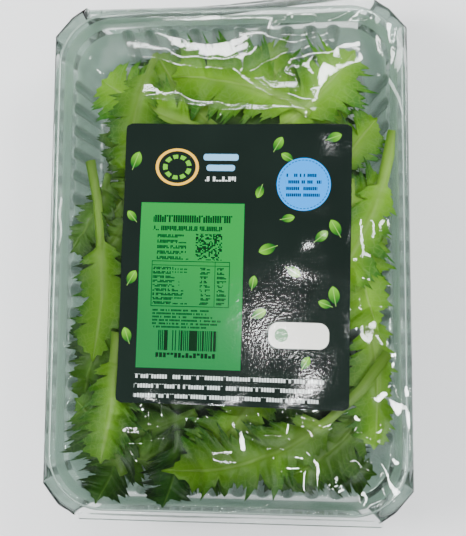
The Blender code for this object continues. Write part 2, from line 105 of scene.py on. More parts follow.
class Nodes:
    def __init__(self, tree):
        self.tree = tree

    def node(self, kind, settings=None, inputs=None, output=0):
        made = self.tree.nodes.new(kind)
        for key, value in (settings or {}).items():
            setattr(made, key, value)
        for key, value in (inputs or {}).items():
            self.feed(made.inputs[key], value)
        return Wire(self, made.outputs[output])

    def feed(self, socket, value):
        if isinstance(value, Wire):
            self.tree.links.new(value.socket, socket)
        else:
            socket.default_value = value

    def math(self, operation, *values):
        return self.node("ShaderNodeMath", {"operation": operation}, dict(enumerate(values)))

    def least(self, a, b):
        return self.math("MINIMUM", a, b)

    def most(self, a, b):
        return self.math("MAXIMUM", a, b)


class Paint(Nodes):
    def __init__(self, name, **constants):
        self.material = bpy.data.materials.new(name)
        self.material.use_nodes = True
        super().__init__(self.material.node_tree)
        self.shader = self.tree.nodes["Principled BSDF"]
        for socketName, value in constants.items():
            self.shader.inputs[socketName.replace("_", " ")].default_value = value

    def ease(self, value, low, high):
        return self.node("ShaderNodeMapRange", {"interpolation_type": "SMOOTHSTEP"},
                         {"Value": value, "From Min": low, "From Max": high})

    def mix(self, share, a, b):
        return self.node("ShaderNodeMix", {"data_type": "RGBA"}, {0: share, 6: a, 7: b}, output=2)

    def noise(self, scale, detail=3.0):
        return self.node("ShaderNodeTexNoise", None,
                         {"Vector": self.place(), "Scale": scale, "Detail": detail})

    def place(self):
        return self.node("ShaderNodeTexCoord", output=3)

    def parts(self, vector):
        first = self.node("ShaderNodeSeparateXYZ", None, {0: vector})
        return [Wire(self, socket) for socket in first.socket.node.outputs]

    def attribute(self, name):
        return self.node("ShaderNodeAttribute", {"attribute_name": name}, output=2)

    def bump(self, height, distance, strength=1.0):
        return self.node("ShaderNodeBump", None,
                         {"Strength": strength, "Distance": distance, "Height": height})

    def wear(self, **wires):
        for socketName, value in wires.items():
            self.feed(self.shader.inputs[socketName.replace("_", " ")], value)
        return self.material

    def seeThrough(self, share, clearColour):       # the finish by its share, what lies behind by the rest
        clear = self.node("ShaderNodeBsdfTransparent", None, {"Color": clearColour})
        mixed = self.node("ShaderNodeMixShader", None,
                          {0: share, 1: clear, 2: Wire(self, self.shader.outputs[0])})
        self.feed(self.tree.nodes["Material Output"].inputs["Surface"], mixed)
        return self.material


def srgb(red, green, blue):             # a colour as a screen shows it, 0 to 255, made linear
    def linear(value):
        value /= 255
        return value / 12.92 if value <= 0.04045 else ((value + 0.055) / 1.055) ** 2.4
    return (linear(red), linear(green), linear(blue), 1.0)


# Stage: a pale floor and soft studio light

stage = {
    "floorSize": 4000.0,
    "floorColour": (0.96, 0.965, 0.97, 1.0),
    "skyColour": (0.95, 0.98, 1.0, 1.0),
    "skyStrength": 1.2,
    "shadeFrom": 0.70,              # upward share of a way out past which the sky darkens
    "shadeFull": 0.91,
    "overheadShade": 0.10,          # how much of the sky's light is left straight overhead
}

lamps = {  # place, point looked at, size across and along, watts
    "left": ((-900.0, 100.0, 700.0), (0.0, 0.0, 20.0), 500.0, 500.0, 15.0),
    "right": ((700.0, 500.0, 800.0), (0.0, 0.0, 20.0), 400.0, 400.0, 6.0),
}


def addStage():
    half = stage["floorSize"] / 2 * mm
    mesh = bpy.data.meshes.new("floor")
    corners = [(-half, -half, 0), (half, -half, 0), (half, half, 0), (-half, half, 0)]
    mesh.from_pydata(corners, [], [(0, 1, 2, 3)])
    floor = bpy.data.objects.new("floor", mesh)
    bpy.context.scene.collection.objects.link(floor)
    mesh.materials.append(Paint("floorPaint", Roughness=0.8, Base_Color=stage["floorColour"]).material)
    for name, (place, target, across, along, watts) in lamps.items():
        data = bpy.data.lights.new(name, "AREA")
        data.shape, data.size, data.size_y, data.energy = "RECTANGLE", across * mm, along * mm, watts
        lamp = bpy.data.objects.new(name, data)
        lamp.location = [value * mm for value in place]
        lamp.rotation_euler = (Vector(target) - Vector(place)).to_track_quat("-Z", "Y").to_euler()
        bpy.context.scene.collection.objects.link(lamp)
    world = bpy.data.worlds.new("studio")
    bpy.context.scene.world = world
    world.use_nodes = True
    nodes = Nodes(world.node_tree)
    height = nodes.node("ShaderNodeSeparateXYZ", None, {0: nodes.node("ShaderNodeTexCoord")}, output=2)
    strength = nodes.node("ShaderNodeMapRange", {"interpolation_type": "SMOOTHSTEP"},
                          {"Value": height, "From Min": stage["shadeFrom"], "From Max": stage["shadeFull"],
                           "To Min": stage["skyStrength"],
                           "To Max": stage["skyStrength"] * stage["overheadShade"]})
    nodes.feed(world.node_tree.nodes["Background"].inputs[0], stage["skyColour"])
    nodes.feed(world.node_tree.nodes["Background"].inputs[1], strength)


addStage()
print("stage set")


# Making and finishing pieces

# A mesh object from millimetres about the tray's middle, with its place in its mesh.
def makePiece(name, points, faces, material, uv=None, attributes=None):
    placed = (np.asarray(points, dtype=float) + (0.0, trayShiftY, 0.0)) * mm
    mesh = bpy.data.meshes.new(name)
    mesh.from_pydata(placed.tolist(), [], faces)
    mesh.shade_smooth()
    if uv is not None:
        layer = mesh.uv_layers.new(name="UVMap")
        loops = np.zeros(len(mesh.loops), dtype=np.int32)
        mesh.loops.foreach_get("vertex_index", loops)
        layer.data.foreach_set("uv", np.asarray(uv, dtype=np.float32)[loops].ravel())
    for key, values in (attributes or {}).items():
        stored = mesh.attributes.new(key, "FLOAT", "POINT")
        stored.data.foreach_set("value", np.asarray(values, dtype=np.float32))
    mesh.materials.append(material)
    piece = bpy.data.objects.new(name, mesh)
    bpy.context.scene.collection.objects.link(piece)
    return piece


def mergeAndTurn(piece):
    work = bmesh.new()
    work.from_mesh(piece.data)
    bmesh.ops.remove_doubles(work, verts=work.verts, dist=1e-6)
    bmesh.ops.recalc_face_normals(work, faces=work.faces)
    work.to_mesh(piece.data)
    work.free()


def finishPiece(piece, slotName, *nodes):
    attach(piece, "root")
    if nodes:
        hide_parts(*nodes)


def gridFaces(rows, columns, start=0, turned=False, closed=False):
    faces = []
    for i in range(rows - 1):
        for j in range(columns if closed else columns - 1):
            a, b = start + i * columns + j, start + i * columns + (j + 1) % columns
            quad = (a, b, b + columns, a + columns)
            faces.append(quad[::-1] if turned else quad)
    return faces


def smoothstep(value, low, high):
    share = np.clip((value - low) / (high - low), 0, 1)
    return share * share * (3 - 2 * share)


def blur(values, times, weight=0.5):
    for _ in range(times):
        padded = np.pad(values, ((1, 1), (0, 0)), mode="edge")
        values = values * (1 - weight) + (padded[:-2] + padded[2:]) / 2 * weight
        padded = np.pad(values, ((0, 0), (1, 1)), mode="edge")
        values = values * (1 - weight) + (padded[:, :-2] + padded[:, 2:]) / 2 * weight
    return values


# A smooth cover that is nowhere lower than the values it is given.
def cover(values, rowReach, columnReach):
    for reach, edges in ((rowReach, ((1, 1), (0, 0))), (columnReach, ((0, 0), (1, 1)))):
        for smooth in (False, True):
            for _ in range(reach):
                padded = np.pad(values, edges, mode="edge")
                if edges[0][0]:
                    before, after = padded[:-2], padded[2:]
                else:
                    before, after = padded[:, :-2], padded[:, 2:]
                if smooth:
                    values = values / 2 + (before + after) / 4
                else:
                    values = np.maximum(values, np.maximum(before, after))
    return values


# Spreads a lift outward so that it fades out smoothly and nowhere falls.
def fadeOut(lift, times):
    for _ in range(times):
        lift = np.maximum(lift, blur(lift, 1))
    return lift


def surfaceTree(source):
    points = [vertex.co for vertex in source.data.vertices]
    return BVHTree.FromPolygons(points, [face.vertices for face in source.data.polygons])


# The first surface met going down, or up from below, at each point; nan where there is none.
def heightsAt(tree, x, y, fromBelow=False):
    z = np.full(x.shape, np.nan)
    start, way = (-10.0, Vector((0, 0, 1))) if fromBelow else (100.0, Vector((0, 0, -1)))
    for index in np.ndindex(x.shape):
        hit = tree.ray_cast(Vector((x[index], y[index] + trayShiftY, start)) * mm, way)[0]
        if hit is not None:
            z[index] = hit.z / mm
    return z


# Tray: a smooth shell, into whose straight walls a node tree presses the ribs

tray = {
    "length": 230.0, "width": 160.0, "height": 42.2, "cornerRadius": 25.0,
    "rimFlat": 2.6, "ledgeDrop": 8.0, "wall": 0.5, "floor": 0.95,
    "ribPitch": 11.0, "ribWidth": 5.2, "ribDepth": 1.9,
    "pointsPerRib": 14, "cornerPoints": 26,
    "ledgeInner": 6.8, "wallFoot": 10.4, "floorCurve": 12.5, "floorEdge": 14.5,
    # the ribs' colour is painted shade and their edges' colour a painted highlight, standing in for light
    # bent and caught in the clear plastic
    "plasticColour": (230, 246, 238), "paintedRibShadeColour": (134, 160, 148), "edgeColour": (248, 252, 250),
    "clearColour": (0.97, 0.99, 0.98, 1.0),
}


def rimDistance(x, y):
    qx = np.abs(x) - (tray["width"] / 2 - tray["cornerRadius"])
    qy = np.abs(y) - (tray["length"] / 2 - tray["cornerRadius"])
    outside = np.hypot(np.maximum(qx, 0), np.maximum(qy, 0))
    return outside + np.minimum(np.maximum(qx, qy), 0) - tray["cornerRadius"]


# Points round the rim: start, outward way, place along the straight from its middle, its length.
def trayPath():
    straightX = tray["width"] / 2 - tray["cornerRadius"]
    straightY = tray["length"] / 2 - tray["cornerRadius"]
    sides = (((straightX, -straightY), (0, 1), (1, 0), 2 * straightY),
             ((straightX, straightY), (-1, 0), (0, 1), 2 * straightX),
             ((-straightX, straightY), (0, -1), (-1, 0), 2 * straightY),
             ((-straightX, -straightY), (1, 0), (0, -1), 2 * straightX))
    path = []
    for start, along, outward, length in sides:
        count = int(length / tray["ribPitch"])
        first = length / 2 - count * tray["ribPitch"] / 2
        steps = count * tray["pointsPerRib"]
        marks = [0.0] + [first + k * tray["ribPitch"] / tray["pointsPerRib"] for k in range(steps + 1)]
        for mark in marks:
            point = (start[0] + along[0] * mark, start[1] + along[1] * mark)
            path.append((*point, *outward, mark - length / 2, length))
        corner = (start[0] + along[0] * length, start[1] + along[1] * length)
        angle0 = math.atan2(outward[1], outward[0])
        for k in range(tray["cornerPoints"]):
            angle = angle0 + k / tray["cornerPoints"] * math.pi / 2
            path.append((*corner, math.cos(angle), math.sin(angle), 0.0, 0.0))
    return np.array(path)


# Inset, height and rib share down the inner face, from the lip over the rim to the floor.
def trayProfile():
    top, ledge = tray["height"], tray["height"] - tray["ledgeDrop"]
    rows = [(0.15, top - 3.2, 0), (0.0, top - 2.6, 0), (0.0, top - 1.0, 0)]
    for k in range(1, 7):                                   # rounded bead
        angle = math.pi / 2 * k / 6
        rows.append((1.0 - math.cos(angle), top - 1.0 + math.sin(angle), 0))
    rows += [(tray["rimFlat"] - 0.7, top, 0), (tray["rimFlat"] - 0.1, top - 0.25, 0),
             (tray["rimFlat"] + 0.25, top - 0.9, 0)]
    rows += [(3.1, top - 2.6, 0), (3.7, top - 5.0, 0), (4.1, ledge + 1.0, 0), (4.4, ledge + 0.25, 0),
             (4.9, ledge - 0.05, 0)]
    inset, foot = tray["ledgeInner"], tray["wallFoot"]
    for k, share in enumerate((0.35, 0.7, 0.9, 1.0)):       # rounded rib tops break into the ledge
        rows.append((inset - 0.9 + 0.3 * k, ledge - 0.2 - 0.25 * k * k, share))
    for k in range(1, 6):
        fall = k / 6
        rows.append((inset + (foot - inset) * fall, ledge - 2.4 - (ledge - 8.4) * fall, 1.0 - 0.28 * fall))
    base = tray["floor"] + tray["wall"]
    rows += [(foot, 6.0, 0.7), (foot + 0.5, 4.4, 0.45), (foot + 1.2, 3.1, 0.15), (tray["floorCurve"], 2.1, 0),
             (tray["floorEdge"], base, 0), (tray["floorEdge"] + 4, base, 0),
             (tray["floorEdge"] + 6, base + 0.8, 0), (tray["floorEdge"] + 10, base + 0.8, 0)]
    return rows


# Pushes the wall outward in half-round ribs, evenly spaced about each straight's middle, and keeps masks of
# the ribs and their edges for the tray's painted shade and painted highlight.
def ribTree():
    tree = bpy.data.node_groups.new("pressRibs", "GeometryNodeTree")
    tree.interface.new_socket("Geometry", in_out="OUTPUT", socket_type="NodeSocketGeometry")
    given = {"Geometry": "Geometry", "Rib Pitch": "Float", "Rib Width": "Float", "Rib Depth": "Float",
             "Plastic": "Material"}
    for name, kind in given.items():
        tree.interface.new_socket(name, in_out="INPUT", socket_type="NodeSocket" + kind)
    nodes = Nodes(tree)
    group = nodes.node("NodeGroupInput").socket.node
    shell, pitch, width, depth, plastic = (Wire(nodes, group.outputs[name]) for name in given)

    def stored(name, kind="FLOAT"):
        return nodes.node("GeometryNodeInputNamedAttribute", {"data_type": kind}, {"Name": name})

    along, run, share = stored("along"), stored("run"), stored("share")
    outward = stored("outward", "FLOAT_VECTOR")
    count = nodes.math("FLOOR", run / pitch)
    turn = nodes.math("FRACT", along / pitch + count * 0.5)
    off = abs(turn - 0.5) * pitch / (width * 0.5)
    bulge = nodes.math("SQRT", nodes.most(1.0 - off * off, 0.0))
    within = abs(along) < count * pitch * 0.5 + 0.00001
    pressed = bulge * within * share
    push = nodes.node("ShaderNodeVectorMath", {"operation": "SCALE"}, {0: outward, "Scale": pressed * depth})
    moved = nodes.node("GeometryNodeSetPosition", None, {"Geometry": shell, "Offset": push})
    edge = nodes.most(1.0 - abs(off - 1.0) * 4.0, 0.0) * within * share
    for name, value in (("pressed", pressed), ("ribEdgeHighlight", edge)):
        moved = nodes.node("GeometryNodeStoreNamedAttribute", None,
                           {"Geometry": moved, "Name": name, "Value": value})
    real = nodes.node("GeometryNodeRealizeInstances", None, {0: moved})
    finished = nodes.node("GeometryNodeSetMaterial", None, {"Geometry": real, "Material": plastic})
    nodes.feed(tree.nodes.new("NodeGroupOutput").inputs[0], finished)
    return tree


# Runs a geometry tree on the piece, keeps its plain mesh and removes the modifier.
def applyTree(piece, tree, values):
    modifier = piece.modifiers.new(tree.name, "NODES")
    modifier.node_group = tree
    for item in tree.interface.items_tree:
        if item.in_out == "INPUT" and item.name in values:
            modifier[item.identifier] = values[item.name]
    graph = bpy.context.evaluated_depsgraph_get()
    result = bpy.data.meshes.new_from_object(piece.evaluated_get(graph))
    piece.modifiers.remove(modifier)
    piece.data = result


def trayPaint():
    paint = Paint("trayPlastic", Metallic=0.4)
    haze = paint.ease(paint.noise(28.0), 0.35, 0.75)
    steep = paint.node("ShaderNodeLayerWeight", None, {"Blend": 0.35}, output=1)
    glance = paint.node("ShaderNodeFresnel", None, {"IOR": 1.55})
    pressed, edge = paint.attribute("pressed"), paint.attribute("ribEdgeHighlight")
    # painted shade in the ribs and a painted highlight along their edges, for light bent and caught in the
    # clear plastic
    colour = paint.mix(pressed * 0.4, srgb(*tray["plasticColour"]), srgb(*tray["paintedRibShadeColour"]))
    colour = paint.mix(edge * 0.8, colour, srgb(*tray["edgeColour"]))
    paint.wear(Roughness=haze * 0.14 + 0.08, Base_Color=colour)
    # the ribs and their edges, with their painted shade and highlight, also hide more of what lies behind
    share = glance + steep * 0.16 + haze * 0.04 + edge * 0.35 + pressed * 0.10 + 0.02
    return paint.seeThrough(paint.least(share, 0.9), tray["clearColour"])


def buildTray():
    path, profile = trayPath(), trayProfile()
    skins = []
    for skin in (0.0, tray["wall"]):
        for row, (inset, height, share) in enumerate(profile):
            before, after = profile[max(row - 1, 0)], profile[min(row + 1, len(profile) - 1)]
            way = np.array([after[0] - before[0], after[1] - before[1]])
            normal = np.array([way[1], -way[0]]) / np.hypot(*way)      # away from the inside
            out = tray["cornerRadius"] - inset + skin * normal[0]
            skins.append(np.column_stack([path[:, 0] + path[:, 2] * out, path[:, 1] + path[:, 3] * out,
                                          np.full(len(path), height + skin * normal[1])]))
    columns, rows = len(path), len(profile)
    faces = gridFaces(rows, columns, 0, True, True) + gridFaces(rows, columns, rows * columns, False, True)
    for j in range(columns):                                   # lip edge
        a, b = j, (j + 1) % columns
        faces.append((a, b, rows * columns + b, rows * columns + a))
    faces.append([(rows - 1) * columns + j for j in range(columns)])
    faces.append([(2 * rows - 1) * columns + j for j in range(columns)][::-1])
    plastic = trayPaint()
    piece = makePiece("trayShell", np.concatenate(skins), faces, plastic, attributes={
        "share": np.tile(np.repeat([row[2] for row in profile], columns), 2),
        "along": np.tile(path[:, 4] * mm, 2 * rows), "run": np.tile(path[:, 5] * mm, 2 * rows)})
    outward = np.column_stack([path[:, 2], path[:, 3], np.zeros(columns)])
    piece.data.attributes.new("outward", "FLOAT_VECTOR", "POINT").data.foreach_set(
        "vector", np.tile(outward, (2 * rows, 1)).astype(np.float32).ravel())
    applyTree(piece, ribTree(), {"Rib Pitch": tray["ribPitch"] * mm, "Rib Width": tray["ribWidth"] * mm,
                                 "Rib Depth": tray["ribDepth"] * mm, "Plastic": plastic})
    mergeAndTurn(piece)
    piece.data.set_sharp_from_angle(angle=math.radians(50))
    finishPiece(piece, "tray", "tray")


buildTray()
print("tray pressed")


# Leaves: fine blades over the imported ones, laid from the floor up so that none cross

leaf = {
    "seed": 7, "blade": 1.0, "ribRise": 1.0, "thickness": 0.32, "gap": 0.22,
    "topColumns": 9, "lowColumns": 5, "wider": 1.2, "cut": ((0.26, 0.46), (0.66, 0.80)),
    "lean": 0.45, "ruffle": 2.1, "lowRuffle": 1.1, "bend": 2.2, "blister": 0.3,
    "rowGap": 0.0045,               # share of the length, because rows too close together shade badly
    "packedBlur": 10, "liftFade": 24, "liftReach": (4, 1),
    "farthest": 34.0,               # that a blade is tried for room beside the wall
    "bladeColours": ((26, 78, 4), (150, 212, 24)),      # of the darkest leaf and the brightest
    "edgeColours": ((6, 34, 2), (60, 138, 8)),
    "ribColours": ((76, 120, 34), (184, 222, 108)),
}


class Pile:                 # heights that the next leaf rests on, in half-millimetre cells
    cell = 0.5

    def __init__(self):
        self.halfX, self.halfY = 90.0, 130.0
        x = np.arange(-self.halfX, self.halfX + self.cell, self.cell)
        y = np.arange(-self.halfY, self.halfY + self.cell, self.cell)
        gridX, gridY = np.meshgrid(x, y, indexing="ij")
        depth = -rimDistance(gridX, gridY)
        profile = [(row[0], row[1]) for row in trayProfile() if row[0] >= 1.0]
        insets, heights = zip(*sorted(profile))
        self.height = np.interp(depth, (-1.0, 0.0) + insets, (-50.0, tray["height"]) + heights)

    def cells(self, x, y):
        column = np.round((x + self.halfX) / self.cell).astype(int)
        row = np.round((y + self.halfY) / self.cell).astype(int)
        return np.clip(column, 0, self.height.shape[0] - 1), np.clip(row, 0, self.height.shape[1] - 1)

    def read(self, x, y):
        padded = np.pad(self.height, 1, mode="edge")
        shape = self.height.shape
        layers = [padded[i:i + shape[0], j:j + shape[1]] for i in range(3) for j in range(3)]
        return np.max(layers, axis=0)[self.cells(x, y)]

    def add(self, x, y, z):         # raises the cells under a fine grid of points and between its points
        for rowStep, columnStep in ((0.0, 0.0), (0.5, 0.0), (0.0, 0.5), (0.5, 0.5)):
            blend = []
            for values in (x, y, z):
                between = values[:-1] * (1 - rowStep) + values[1:] * rowStep
                blend.append(between[:, :-1] * (1 - columnStep) + between[:, 1:] * columnStep)
            np.maximum.at(self.height, self.cells(blend[0], blend[1]), blend[2])


# The three lower layers, seven leaves each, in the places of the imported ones.
def fillSpecs(draw):
    specs = []
    for layer, inset in enumerate((13.5, 11.5, 10.0)):
        for k in range(7):
            if k < 6:
                column = (34, 26, 30)[layer] * (-1, 1)[k % 2]
                centre = np.array((column + draw.uniform(-5, 5), -68 + 68 * (k // 2) + draw.uniform(-6, 6)))
                angle = math.radians(draw.uniform(-30, 30) + 180 * ((k + layer) % 2))
            else:
                centre = np.array([draw.uniform(-6, 6), (-45, 45, 64)[layer]])
                angle = math.radians(draw.uniform(60, 120) + 180 * (layer % 2))
            way = np.array([math.sin(angle), math.cos(angle)])
            length = draw.uniform(80, 92)
            bow, half = draw.uniform(-0.08, 0.08), draw.uniform(26, 30)
            draw.uniform(0.85, 1.15)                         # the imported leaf's arch and droop
            draw.uniform(2, 5)
            specs.append(dict(base=tuple(centre - way * length / 2), tip=tuple(centre + way * length / 2),
                              bow=bow, half=half, rib=4.2, lobes=5, bare=0.14, inset=inset, fine=False))
    return specs


def topSpec(base, tip, bow, half, rib=3.4, lobes=6, bare=0.12, inset=4.0, tone=0.5, level=None):
    return dict(base=base, tip=tip, bow=bow, half=half, rib=rib, lobes=lobes, bare=bare, inset=inset,
                tone=tone, fine=True, level=level)


# base, tip, bow to the left as a share of the length, and half width; then what sets the leaf apart
topSpecs = [
    topSpec((15, -96), (66, -99), 0.02, 15, tone=0.1),
    topSpec((-60, -92), (4, -100), 0.03, 17, tone=0.15),
    topSpec((-22, -80), (-27, -112), 0.05, 12, lobes=4, inset=0.9, tone=0),
    topSpec((-46, -78), (-57, -111), 0.04, 12, lobes=4, inset=0.9, tone=0.05),
    topSpec((20, -50), (-8, -92), 0.04, 17, rib=4.4, tone=0.4),
    topSpec((66, -64), (30, -98), 0.08, 16, tone=0.25),
    topSpec((62, -22), (66, -84), 0.05, 19, inset=3.0, tone=0.55),
    topSpec((72, -44), (-24, -98), 0.13, 17, rib=4.6, lobes=7, bare=0.34, tone=0.42),
    topSpec((56, 34), (67, -32), -0.03, 23, inset=3.0, tone=0.8),
    topSpec((76, 56), (48, -14), 0.06, 17, rib=5.4, bare=0.3, inset=3.0, tone=0.85),
    topSpec((20, 56), (58, 94), -0.05, 19, inset=9.0, tone=0.85),
    topSpec((38, 64), (-24, 84), -0.08, 21, tone=0.75),
    topSpec((-8, 58), (-60, 84), 0.06, 20, tone=0.8),
    topSpec((-34, 94), (-46, 40), -0.05, 14, inset=10.0, tone=0.5),
    topSpec((-56, 38), (-72, 2), 0.05, 13, lobes=5, tone=0.15),
    topSpec((-48, -26), (-68, -68), -0.06, 19, tone=0.15),
    topSpec((-64, 44), (-61, -46), 0.05, 15, rib=4.4, bare=0.42, tone=0.5),
    topSpec((-46, -100), (-70, -68), -0.08, 15, rib=3.8, tone=0.2),
    topSpec((-50, -36), (-55, -92), 0.02, 15, rib=6.0, bare=0.2, tone=0.5),
]

# small loose leaves between the lower layers and the top ones, in no packed leaf's place
betweenSpecs = [
    topSpec((-4, 58), (-34, 96), 0.05, 14, lobes=5, tone=0.5, level=36),
    topSpec((30, 60), (16, 98), -0.05, 14, lobes=5, tone=0.6, level=36),
    topSpec((46, 44), (56, 84), 0.06, 12, lobes=5, tone=0.65, level=36),
    topSpec((-40, 28), (-53, 60), 0.05, 11, lobes=5, tone=0.3, level=36),
    topSpec((-47, -20), (-68, 12), 0.06, 12, lobes=5, tone=0.1, level=36),
    topSpec((-47, -60), (-70, -30), 0.04, 12, lobes=5, tone=0.05, level=36),
    topSpec((-14, -72), (-58, -84), 0.05, 13, lobes=5, tone=0.1, level=36),
    topSpec((4, -74), (34, -106), -0.06, 13, lobes=5, tone=0.05, level=36),
    topSpec((50, -20), (72, 8), -0.05, 12, lobes=5, tone=0.5, level=36),
    topSpec((52, -70), (73, -46), -0.05, 12, lobes=5, tone=0.2, level=36),
    topSpec((46, 28), (68, 62), 0.04, 13, lobes=5, tone=0.7, level=37),
    topSpec((48, 12), (70, 36), -0.06, 12, lobes=5, tone=0.6, level=37),
    topSpec((-40, 44), (-58, 16), 0.05, 11, lobes=5, tone=0.3, level=37),
    topSpec((-40, 20), (-62, -8), -0.06, 12, lobes=5, tone=0.2, level=37),
    topSpec((-10, -76), (18, -100), 0.05, 12, lobes=5, tone=0.15, level=37),
]


# Points eased inward so that they stay inside the rim's outline moved in by inset.
def keepInside(x, y, inset, softness):
    step = 0.01
    for _ in range(2):
        distance = rimDistance(x, y) + inset
        wanted = -softness * np.exp(-(np.maximum(distance, -softness) + softness) / softness)
        push = np.where(distance > -softness, wanted - distance, 0.0) / (2 * step)
        gradX = rimDistance(x + step, y) - rimDistance(x - step, y)
        gradY = rimDistance(x, y + step) - rimDistance(x, y - step)
        x, y = x + push * gradX, y + push * gradY
        softness *= 0.5
    return x, y


# Places along the rib and the blade's reach there on each side: lobes of four teeth, alternating.
def leafOutline(spec, reaches, draw):
    bare, lobes, half = spec["bare"], spec["lobes"], spec["half"]
    marks = {}                                                  # by side: place and reach
    for sign, shift in ((1, 0.0), (-1, 0.4)):
        first = bare + shift * (0.90 - bare) / lobes
        step = (0.90 - first) / lobes
        line = [(0.0, 0.0), (bare * 0.5, 0.0), (first, 0.0)]
        for k in range(lobes):
            reach, start = reaches[sign][k] * leaf["wider"], first + k * step
            rise, fall = draw.uniform(0.58, 0.76), draw.uniform(0.70, 0.90)
            cut = leaf["cut"][(k + (sign > 0)) % 2]
            teeth = ((0.16, rise), (0.27, rise - draw.uniform(0.03, 0.10)),
                     (0.48, draw.uniform(0.86, 1.08)), (0.60, fall - draw.uniform(0.08, 0.16)),
                     (0.70, fall), (0.80, fall - draw.uniform(0.16, 0.24)),
                     (0.87, fall - draw.uniform(0.14, 0.22)), (1.0, draw.uniform(*cut)))
            line += [(start + (place + draw.uniform(-0.02, 0.02)) * step, share * reach)
                     for place, share in teeth]
        line += [(0.925, 0.50 * half), (0.945, 0.33 * half), (0.97, 0.30 * half),
                 (0.99, 0.12 * half), (1.04, 0.0)]
        marks[sign] = np.array(line)
    places = [0.0]
    for place in sorted(np.concatenate([marks[1][:, 0], marks[-1][:, 0]])):
        if place - places[-1] > leaf["rowGap"]:
            places.append(place)
    places = np.array(places)
    return places, {sign: np.interp(places, line[:, 0], line[:, 1]) for sign, line in marks.items()}


# The greatest or least of each value and its neighbours on both sides.
def pickNear(values, neighbours, pick):
    padded = np.pad(values, neighbours, mode="edge")
    return pick([padded[k:k + len(values)] for k in range(2 * neighbours + 1)], axis=0)


# The outline's reach on one side, scaled down where the wall is near so that its teeth stay.
def besideWall(reach, spine, side, way, sign, inset):
    tries = np.arange(0.0, leaf["farthest"], 0.25)
    x = spine[:, :1] + (side[:, :1] * sign + way[:, :1] * leaf["lean"]) * tries
    y = spine[:, 1:] + (side[:, 1:] * sign + way[:, 1:] * leaf["lean"]) * tries
    room = np.where(rimDistance(x, y) + inset > 0, tries, leaf["farthest"]).min(axis=1)
    scale = np.minimum(1.0, room / np.maximum(pickNear(reach, 9, np.max), 1.0))
    return reach * blur(pickNear(scale, 5, np.min)[:, None], 12)[:, 0]


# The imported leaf's underside below each point, carried outward where a point is past its edge.
def packedHeights(node, x, y):
    z = heightsAt(surfaceTree(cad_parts[node]), x, y, fromBelow=True)
    middle = x.shape[1] // 2
    rib = z[:, middle]
    known = ~np.isnan(rib)
    rib[~known] = np.interp(np.flatnonzero(~known), np.flatnonzero(known), rib[known])
    for way in (1, -1):
        for j in range(1, middle + 1):
            column, before = z[:, middle + way * j], z[:, middle + way * (j - 1)]
            column[np.isnan(column)] = before[np.isnan(column)]
    return z


# Signed distances from the rib, by place and column, from the left edge to the right one.
def bladeColumns(spec, reach, spine, side, way, ribHalf):
    half = leaf["topColumns"] if spec["fine"] else leaf["lowColumns"]
    shares = (np.arange(1, half + 1) / half) ** 0.85
    sides = []
    for sign in (-1, 1):
        edge = besideWall(reach[sign], spine, side, way, sign, spec["inset"])
        edge = np.maximum(edge, ribHalf + 0.25)
        columns = [ribHalf * 0.55, ribHalf] + [ribHalf + (edge - ribHalf) * share for share in shares]
        columns = [sign * column for column in columns]
        sides.append(columns[::-1] if sign < 0 else columns)
    return np.column_stack(sides[0] + [np.zeros(len(ribHalf))] + sides[1])


# Heights over the flat blade: ruffled and blistered lobes, then the dents by the rib and side veins.
def bladeRelief(spec, x, y, offset, wide, lobeTurn, ribHalf, phase):
    amount = leaf["ruffle"] if spec["fine"] else leaf["lowRuffle"]
    sideTurn = np.where(offset > 0, 0.0, 1.9)
    ruffle = np.sin(lobeTurn * math.pi * 0.55 + phase + sideTurn) * wide ** 1.3 * amount
    ruffle += np.sin(lobeTurn * math.pi * 1.3 + phase * 2 + sideTurn) * wide ** 2.0 * amount * 0.4
    ruffle += math.sin(phase * 5) * wide ** 1.5 * amount
    ruffle += leaf["blister"] * np.sin(x / 2.1 + phase) * np.sin(y / 1.9 - phase * 2) * (0.3 + wide)
    gutter = -0.5 * np.exp(-(np.abs(offset) / (ribHalf[:, None] + 2.5)) ** 2)
    vein = np.abs((lobeTurn - 0.15) % 1.0 - 0.5) * 2
    gutter += -0.12 * np.exp(-((1 - vein) / 0.16) ** 2) * (wide > 0.05)
    return ruffle, gutter


# Upper and lower skin of a blade, joined round its edge.
def bladeFaces(rows, columns):
    count = rows * columns
    faces = gridFaces(rows, columns, 0, True) + gridFaces(rows, columns, count, False)
    for i in range(rows - 1):
        for j, turned in ((0, False), (columns - 1, True)):
            a, b = i * columns + j, (i + 1) * columns + j
            quad = (a, b, b + count, a + count)
            faces.append(quad[::-1] if turned else quad)
    for i, turned in ((0, True), (rows - 1, False)):
        for j in range(columns - 1):
            a = i * columns + j
            quad = (a, a + 1, a + 1 + count, a + count)
            faces.append(quad[::-1] if turned else quad)
    return faces


